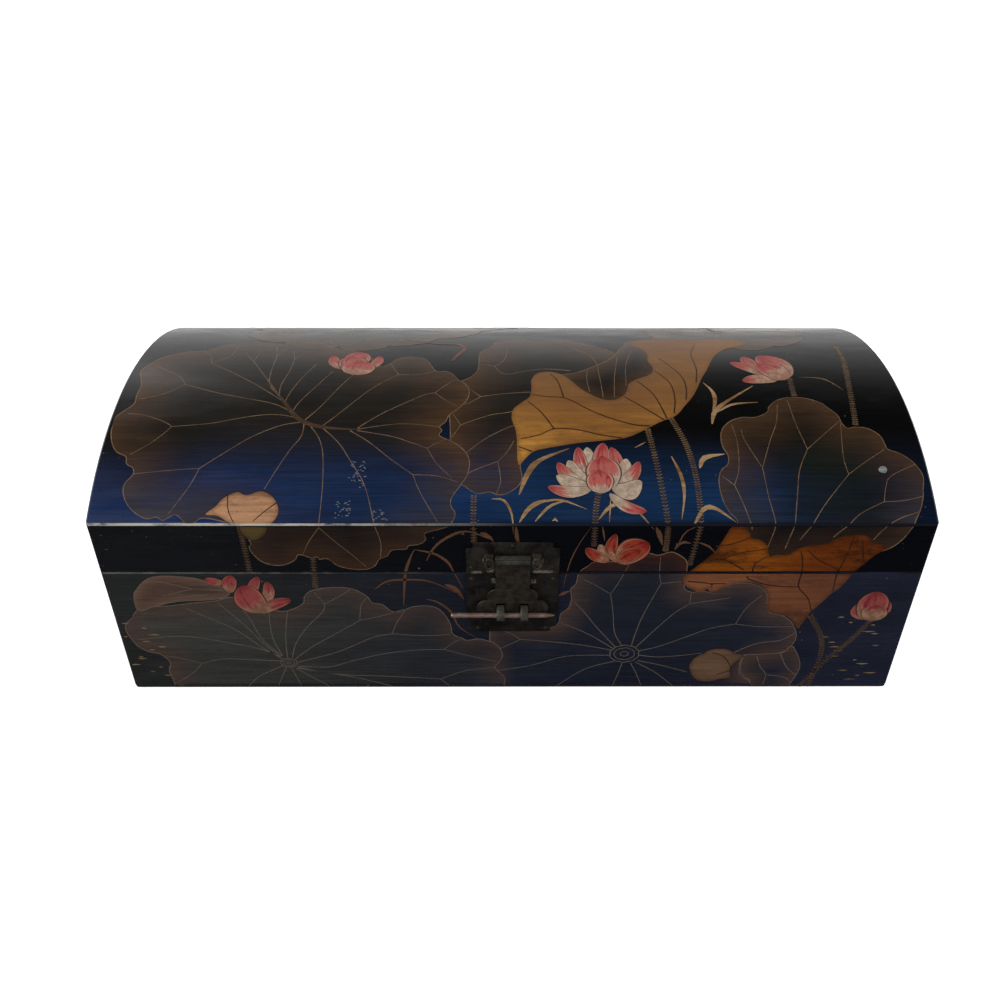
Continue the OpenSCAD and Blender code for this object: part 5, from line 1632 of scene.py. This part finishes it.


# %% [markdown]
# ## Dark brass
#
# The lock is old brass that has gone brown, with grey-green on the parts in relief, reddish spots, and a
# pale crust where polish has dried in the corners. On the hasp's roll the lighter grey is partly patina
# and partly a painted highlight. The colour comes from two layers of noise, and the crust from a few
# soft marks placed on the plate. The metal is only partly metallic, since its skin of patina is dull.

# %% Patina
def patina(name, brown, grey, spots, roughness, metallic, crust):
    material, tree, shader = new_material(name, roughness=roughness, metallic=metallic, ior=1.45)
    where = place(tree)
    cloudy = between(tree, noise(tree, 130, (1, 1, 1), 5, 0.7, (1, 7, 3)), 0.35, 0.65)
    paint = mix(tree, cloudy, colour(*brown), colour(*grey))
    spotted = between(tree, noise(tree, 420, (1, 1, 1), 3, 0.6, (6, 1, 9)), 0.6, 0.68, 0.0, 0.7)
    paint = mix(tree, spotted, paint, colour(*spots))
    for x, z, half_x, half_z in crust:
        along = band(tree, axis_of(tree, where, 0), x * MM, half_x * MM, 1.6 * MM)
        upright = band(tree, axis_of(tree, where, 2), z * MM, half_z * MM, 1.0 * MM)
        broken = between(tree, noise(tree, 700, (1, 1, 1), 4, 0.75, (x, 2, z)), 0.36, 0.56, 0.0, 0.95)
        paint = mix(tree, times(tree, along, upright, broken), paint, colour(150, 138, 122))
    link(tree, paint, shader.inputs["Base Color"])
    hammered = noise(tree, 190, (1, 1, 1), 2, 0.4, (3, 3, 8))
    pitted = noise(tree, 1400, (1, 1, 1), 3, 0.7, (8, 2, 1))
    bump(tree, shader, maths(tree, "ADD", times(tree, hammered, 5), pitted), 0.5, 0.00007)
    rubbed = noise(tree, 300, (1, 1, 1), 4, 0.7, (2, 2, 2))
    wear = between(tree, rubbed, 0.3, 0.7, roughness - 0.1, roughness + 0.18)
    link(tree, wear, shader.inputs["Roughness"])
    return material


crust_marks = [
    (-12.4, 93.8, 1.0, 1.2), (16.7, 92.4, 4.6, 0.5), (-10.4, 86, 0.4, 1.2), (11.8, 85.4, 0.4, 0.8),
    (-20, 92, 2, 0.3),
]
METALS = {
    "plate_patina": ((31, 26, 23), (61, 58, 52), (74, 42, 31), 0.42, 0.55, crust_marks),
    "low_plate_patina": ((24, 21, 20), (47, 45, 42), (60, 37, 29), 0.42, 0.55, crust_marks),
    "hasp_patina": ((46, 40, 35), (76, 71, 63), (78, 44, 33), 0.36, 0.65, []),
    # The roll's lighter grey is partly patina and partly a painted highlight.
    "knuckle_patina_and_highlight": ((66, 64, 58), (92, 92, 86), (70, 58, 46), 0.34, 0.6, []),
    "staple_patina": ((74, 72, 64), (100, 98, 90), (80, 60, 46), 0.34, 0.6, []),
    "eye_patina": ((56, 50, 42), (96, 88, 76), (90, 60, 44), 0.34, 0.6, []),
    "pin_copper": ((158, 126, 114), (190, 164, 154), (100, 68, 56), 0.34, 0.75, []),
    "nail_patina": ((40, 34, 29), (64, 57, 48), (70, 40, 28), 0.38, 0.6, []),
    "hinge_patina": ((82, 66, 42), (104, 90, 62), (88, 48, 34), 0.4, 0.7, []),
}
metals = {name: patina(name, *recipe) for name, recipe in METALS.items()}


# %% [markdown]
# ## Sheet metal
#
# Plates, hasp and straps are cut from sheet with soft, filed edges. A flat curve does that in one step:
# filled, given the sheet's thickness, and rounded along its edges. Front views are drawn as x and
# height, and side views, for straps bent to a ring, as depth and height. All numbers are the CAD
# model's, in millimetres.

# %% Sheets from outlines
def arc(centre, radius, start, end, steps):
    turns = [math.radians(start + (end - start) * k / steps) for k in range(steps + 1)]
    return [(centre[0] + radius * math.cos(t), centre[1] + radius * math.sin(t)) for t in turns]


def clean_skin(piece):
    bpy.ops.object.mode_set(mode="EDIT")
    bpy.ops.mesh.select_all(action="SELECT")
    bpy.ops.mesh.remove_doubles(threshold=1e-6)
    bpy.ops.mesh.normals_make_consistent(inside=False)
    bpy.ops.object.mode_set(mode="OBJECT")
    bpy.ops.object.shade_smooth_by_angle(angle=math.radians(32))
    print(f"{piece.name}: {len(piece.data.polygons)} faces")


def sheet_metal(name, outlines, thickness, edge, at, side_view=False):
    curve = bpy.data.curves.new(name, "CURVE")
    curve.dimensions = "2D"
    curve.fill_mode = "BOTH"
    curve.extrude = thickness / 2 - edge
    curve.bevel_depth = edge
    curve.bevel_resolution = 2
    curve.offset = -edge
    for outline in outlines:
        line = curve.splines.new("POLY")
        line.points.add(len(outline) - 1)
        for point, (across, up) in zip(line.points, outline):
            point.co = (across, up, 0, 1)
        line.use_cyclic_u = True
    add_object(name, curve)
    bpy.ops.object.convert(target="MESH")
    piece = bpy.context.object
    for vert in piece.data.vertices:
        across, up, out = vert.co
        if side_view:
            vert.co = ((at + out) * MM, across * MM, up * MM)
        else:
            vert.co = (across * MM, (at - out) * MM, up * MM)
    clean_skin(piece)
    return piece


def finish_piece(piece, body, slot, material, *replaced):
    piece.data.materials.clear()
    piece.data.materials.append(material)
    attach(piece, body)
    if replaced:
        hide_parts(*replaced)


def join_pieces(first, *others):
    bpy.ops.object.select_all(action="DESELECT")
    for piece in (first, *others):
        piece.select_set(True)
    bpy.context.view_layer.objects.active = first
    bpy.ops.object.join()
    return first


# %% Lock plates
PLATE_HALF = 25.8
SHOULDER = 3.8
CORNER = 1.1
CORNER_IN = 0.35
CORNER_UP = 0.3
PLATE_SHEET = 0.9
PLATE_EDGE = 0.2
PLATE_MIDDLE_Y = -120.45


def plate_outline(seam_end, far_end):
    up = 1 if far_end > seam_end else -1
    step = far_end - up * SHOULDER
    inner = PLATE_HALF - SHOULDER
    right = [(PLATE_HALF, seam_end), (PLATE_HALF, step - up * CORNER)]
    right += [(PLATE_HALF - CORNER_IN, step - up * CORNER_UP), (PLATE_HALF - CORNER, step)]
    right += [(inner, step), (inner, far_end - up * CORNER)]
    right += [(inner - CORNER_IN, far_end - up * CORNER_UP), (inner - CORNER, far_end)]
    left = [(-x, z) for x, z in reversed(right)]
    return right + left


lid_outline = plate_outline(91.2, 112.7)
lid_plate = sheet_metal("brass_lid_plate", [lid_outline], PLATE_SHEET, PLATE_EDGE, PLATE_MIDDLE_Y)
finish_piece(lid_plate, "lid", "plate_brass", metals["plate_patina"], "lid_lock_plate")
base_outline = plate_outline(91.0, 47.6)
base_plate = sheet_metal("brass_base_plate", [base_outline], PLATE_SHEET, PLATE_EDGE, PLATE_MIDDLE_Y)
finish_piece(base_plate, "base", "plate_brass", metals["low_plate_patina"], "base_lock_plate")


# %% [markdown]
# ## The hasp
#
# The hasp hangs from its pin, with a cloud scroll on each side and two slots that pass over the staples.
# It is a sheet of its own thickness whose top is rolled forward round the pin. The roll is drawn from
# the side, with the notch where its lip meets the sheet.

# %% Hasp
AXIS_Y = -125.1
AXIS_Z = 103.8
STAPLE_Z = 66.2
SLOT_X = 6.7
ROLL_R = 2.6
ROLL_GROOVE_R = 2.25
ROLL_BORE_R = 1.3
ROLL_REACH = 2.8
ROLL_LENGTH = 19.7
HASP_SHEET = 1.2
HASP_Y = -123.14
hasp_right = [(9.6, AXIS_Z), (9.6, 81.6)]
hasp_right += arc((9, 76.3), 5.4, 84, -38, 18)
hasp_right += arc((14.2, 67.5), 6.2, 112, -116, 26)
hasp_right += [(11.4, 61.3), (11.1, 60.4), (10.0, 59.7)]
hasp_left = [(-x, z) for x, z in reversed(hasp_right)]
SLOT_CORNERS = [
    (-2.6, -4.6), (-2.2, -4.95), (2.2, -4.95), (2.6, -4.6), (2.6, 4.6), (2.2, 4.95), (-2.2, 4.95),
    (-2.6, 4.6),
]
slots = []
for side in (-1, 1):
    slots.append([(side * SLOT_X + a, STAPLE_Z + b) for a, b in SLOT_CORNERS])
hasp_sheet = sheet_metal("brass_hasp", [hasp_right + hasp_left, *slots], HASP_SHEET, 0.3, HASP_Y)
roll = []
for start, end in ((-24, 138), (146, 196), (204, 268)):
    roll += arc((AXIS_Y, AXIS_Z), ROLL_R, start, end, 20)
    roll += arc((AXIS_Y, AXIS_Z), ROLL_GROOVE_R, end + 3, end + 5, 1)
roll = roll[:-2]
roll += [(AXIS_Y + 0.15, AXIS_Z - 2.1), (AXIS_Y + 0.45, AXIS_Z - 2.1), (AXIS_Y + 0.55, AXIS_Z - 2.5)]
roll_bore = arc((AXIS_Y, AXIS_Z), ROLL_BORE_R, 0, 352, 30)
hasp_roll = sheet_metal("brass_roll", [roll, roll_bore], ROLL_LENGTH, 0.25, 0.0, side_view=True)
hasp = join_pieces(hasp_sheet, hasp_roll)
finish_piece(hasp, "hasp", "hasp_brass", metals["hasp_patina"], "hasp")
# The rolled top takes the lighter paint, partly patina and partly a painted highlight.
hasp.data.materials.append(metals["knuckle_patina_and_highlight"])
for face in hasp.data.polygons:
    if math.hypot(face.center.y - AXIS_Y * MM, face.center.z - AXIS_Z * MM) < ROLL_REACH * MM:
        face.material_index = 1


# %% [markdown]
# ## Eyes, staples and the lock pin
#
# An eye or staple is one strap: a ring in front, two legs through plate and board, and the ends clenched
# flat inside. The two staples are plain bands. Each eye carries an oval rim round a hollow in front,
# which catches the light. Its ring is turned: a section spun about the pin's axis. The lock pin is
# turned too, from a slightly uneven section, as on a hand-forged pin, within the bore that it must
# pass.

# %% Strap and turned shapes
LEG = 1.4
CLENCH = 8


def oval(x, z, half_width, half_height, steps):
    turns = [math.tau * k / steps for k in range(steps)]
    return [(x + half_width * math.cos(t), z + half_height * math.sin(t)) for t in turns]


def strap_outline(y, z, radius, inner_y, up, down):
    meet = math.degrees(math.asin(LEG / radius))
    loop = arc((y, z), radius, meet, 360 - meet, 40)
    loop += [(inner_y, z - LEG), (inner_y, z - LEG - down), (inner_y + LEG, z - LEG - down)]
    loop += [(inner_y + LEG, z + LEG + up), (inner_y, z + LEG + up), (inner_y, z + LEG)]
    return loop


def turned(name, section, y, z, steps=48):
    mesh = bpy.data.meshes.new(name)
    points = [(x * MM, y * MM, (z + r) * MM) for x, r in section]
    mesh.from_pydata(points, [(k, k + 1) for k in range(len(points) - 1)], [])
    piece = add_object(name, mesh)
    bpy.ops.object.mode_set(mode="EDIT")
    bpy.ops.mesh.select_all(action="SELECT")
    bpy.ops.mesh.spin(steps=steps, angle=math.tau, center=(0, y * MM, z * MM), axis=(1, 0, 0))
    bpy.ops.object.mode_set(mode="OBJECT")
    clean_skin(piece)
    return piece


# %% Eyes
EYE_X = 13.0
EYE_HALF = 2.8
EYE_HEIGHT = 4.1
HOLLOW_HALF = 1.35
HOLLOW_HEIGHT = 2.5
RING_HALF = 2.2
RING_EDGE_HALF = 1.9
RING_R = 3.5
RING_EDGE_R = 3.2
RING_BORE_R = 1.3
EYE_RIM_DEPTH = 2.6
EYE_RIM_Y = -127.85
EYE_LOOP_R = 1.41
EYE_INSIDE_Y = -111.5
EYE_BAND = 5.0
for side, label in ((-1, "left"), (1, "right")):
    middle = side * EYE_X
    section = [(middle - RING_HALF, RING_BORE_R), (middle - RING_HALF, RING_EDGE_R)]
    section += [(middle - RING_EDGE_HALF, RING_R), (middle + RING_EDGE_HALF, RING_R)]
    section += [(middle + RING_HALF, RING_EDGE_R), (middle + RING_HALF, RING_BORE_R), section[0]]
    ring = turned(f"brass_{label}_eye", section, AXIS_Y, AXIS_Z)
    outer = oval(middle, AXIS_Z, EYE_HALF, EYE_HEIGHT, 40)
    hollow = oval(middle, AXIS_Z, HOLLOW_HALF, HOLLOW_HEIGHT, 28)
    rim = sheet_metal(f"brass_{label}_rim", [outer, hollow], EYE_RIM_DEPTH, 0.6, EYE_RIM_Y)
    legs = strap_outline(AXIS_Y + 3.0, AXIS_Z, EYE_LOOP_R, EYE_INSIDE_Y, CLENCH, 4.4)
    strap = sheet_metal(f"brass_{label}_strap", [legs], EYE_BAND, 0.25, middle, side_view=True)
    eye = join_pieces(ring, rim, strap)
    finish_piece(eye, "lid", "staple_brass", metals["eye_patina"], f"{label}_hasp_eye")

# %% Staples
STAPLE_Y = -125.9
STAPLE_R = 4.5
STAPLE_BORE_R = 3.1
STAPLE_BAND = 4.3
STAPLE_INSIDE_Y = -111
for side, label in ((-1, "left"), (1, "right")):
    legs = strap_outline(STAPLE_Y, STAPLE_Z, STAPLE_R, STAPLE_INSIDE_Y, CLENCH, CLENCH)
    bore = arc((STAPLE_Y, STAPLE_Z), STAPLE_BORE_R, 0, 350, 35)
    place_x = side * SLOT_X
    staple = sheet_metal(f"brass_{label}_staple", [legs, bore], STAPLE_BAND, 0.35, place_x, side_view=True)
    finish_piece(staple, "base", "staple_brass", metals["staple_patina"], f"{label}_staple")

# %% Lock pin
PIN_Z = 64.6
PIN_R = 1.45
dice = random.Random(9)
profile = [(-34.9, 0.0), (-34.9, 0.8), (-34.75, 1.12), (-34.4, 1.3), (-33.6, 1.4)]
profile += [(-33 + 1.5 * k, PIN_R - 0.09 * dice.random()) for k in range(34)]
profile += [(18.4, 1.4), (20.5, 1.1), (22.4, 0.78), (23.6, 0.52), (23.95, 0.3), (24.0, 0.0)]
lock_pin = turned("copper_lock_pin", profile, STAPLE_Y, PIN_Z, 20)
finish_piece(lock_pin, "lock_pin", "pin_copper", metals["pin_copper"], "lock_pin")


# %% [markdown]
# ## Small metal and wood that stays as modelled
#
# Nails, hinge leaves, hinge pins, dowels and lips already have their full shape in the CAD model, so
# they only need a finish. The dowels are bamboo: pale, with fine dark fibres along the grain. The lips
# inside are red lacquer like the rest of the inside.

# %% Remaining finishes
def bamboo_finish():
    material, tree, shader = new_material("bamboo_dowel", roughness=0.55, ior=1.45)
    fibres = noise(tree, 900, (1, 0.15, 1), 4, 0.6, (2, 2, 2))
    cloudy = between(tree, noise(tree, 60, (1, 1, 1), 3, 0.6), 0.3, 0.7)
    aged = mix(tree, cloudy, colour(176, 142, 92), colour(142, 106, 62))
    paint = mix(tree, between(tree, fibres, 0.55, 0.68), aged, colour(96, 66, 36))
    link(tree, paint, shader.inputs["Base Color"])
    bump(tree, shader, fibres, 0.4, 0.0001)
    return material


def lip_finish():
    material, tree, shader = new_material("lip_lacquer", roughness=0.34, ior=1.45)
    worn = between(tree, noise(tree, 340, (0.4, 0.4, 1), 4, 0.75, (5, 2, 8)), 0.6, 0.72, 0.0, 0.55)
    link(tree, mix(tree, worn, red_lacquer(tree), colour(110, 82, 52)), shader.inputs["Base Color"])
    lacquer_touch(tree, shader, (0.05, 0.05, 1))
    return material


dress(bamboo_finish(), "bottom_dowels", "base_corner_dowels", "lid_corner_dowels", "dome_dowels")
dress(lip_finish(), "front_lip", "back_lip", "left_lip", "right_lip")
dress(metals["nail_patina"], "base_plate_nails", "lid_plate_nails", "hinge_base_nails", "hinge_lid_nails")
# The hasp's pin takes the same lighter paint, partly patina and partly a painted highlight.
dress(metals["knuckle_patina_and_highlight"], "hasp_hinge_pin")
for side in ("left", "right"):
    dress(metals["hinge_patina"], f"{side}_hinge_base_leaf", f"{side}_hinge_lid_leaf", f"{side}_hinge_pin")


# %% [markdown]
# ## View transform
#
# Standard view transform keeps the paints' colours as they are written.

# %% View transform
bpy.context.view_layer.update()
scene = bpy.context.scene
scene.view_settings.view_transform = "Standard"
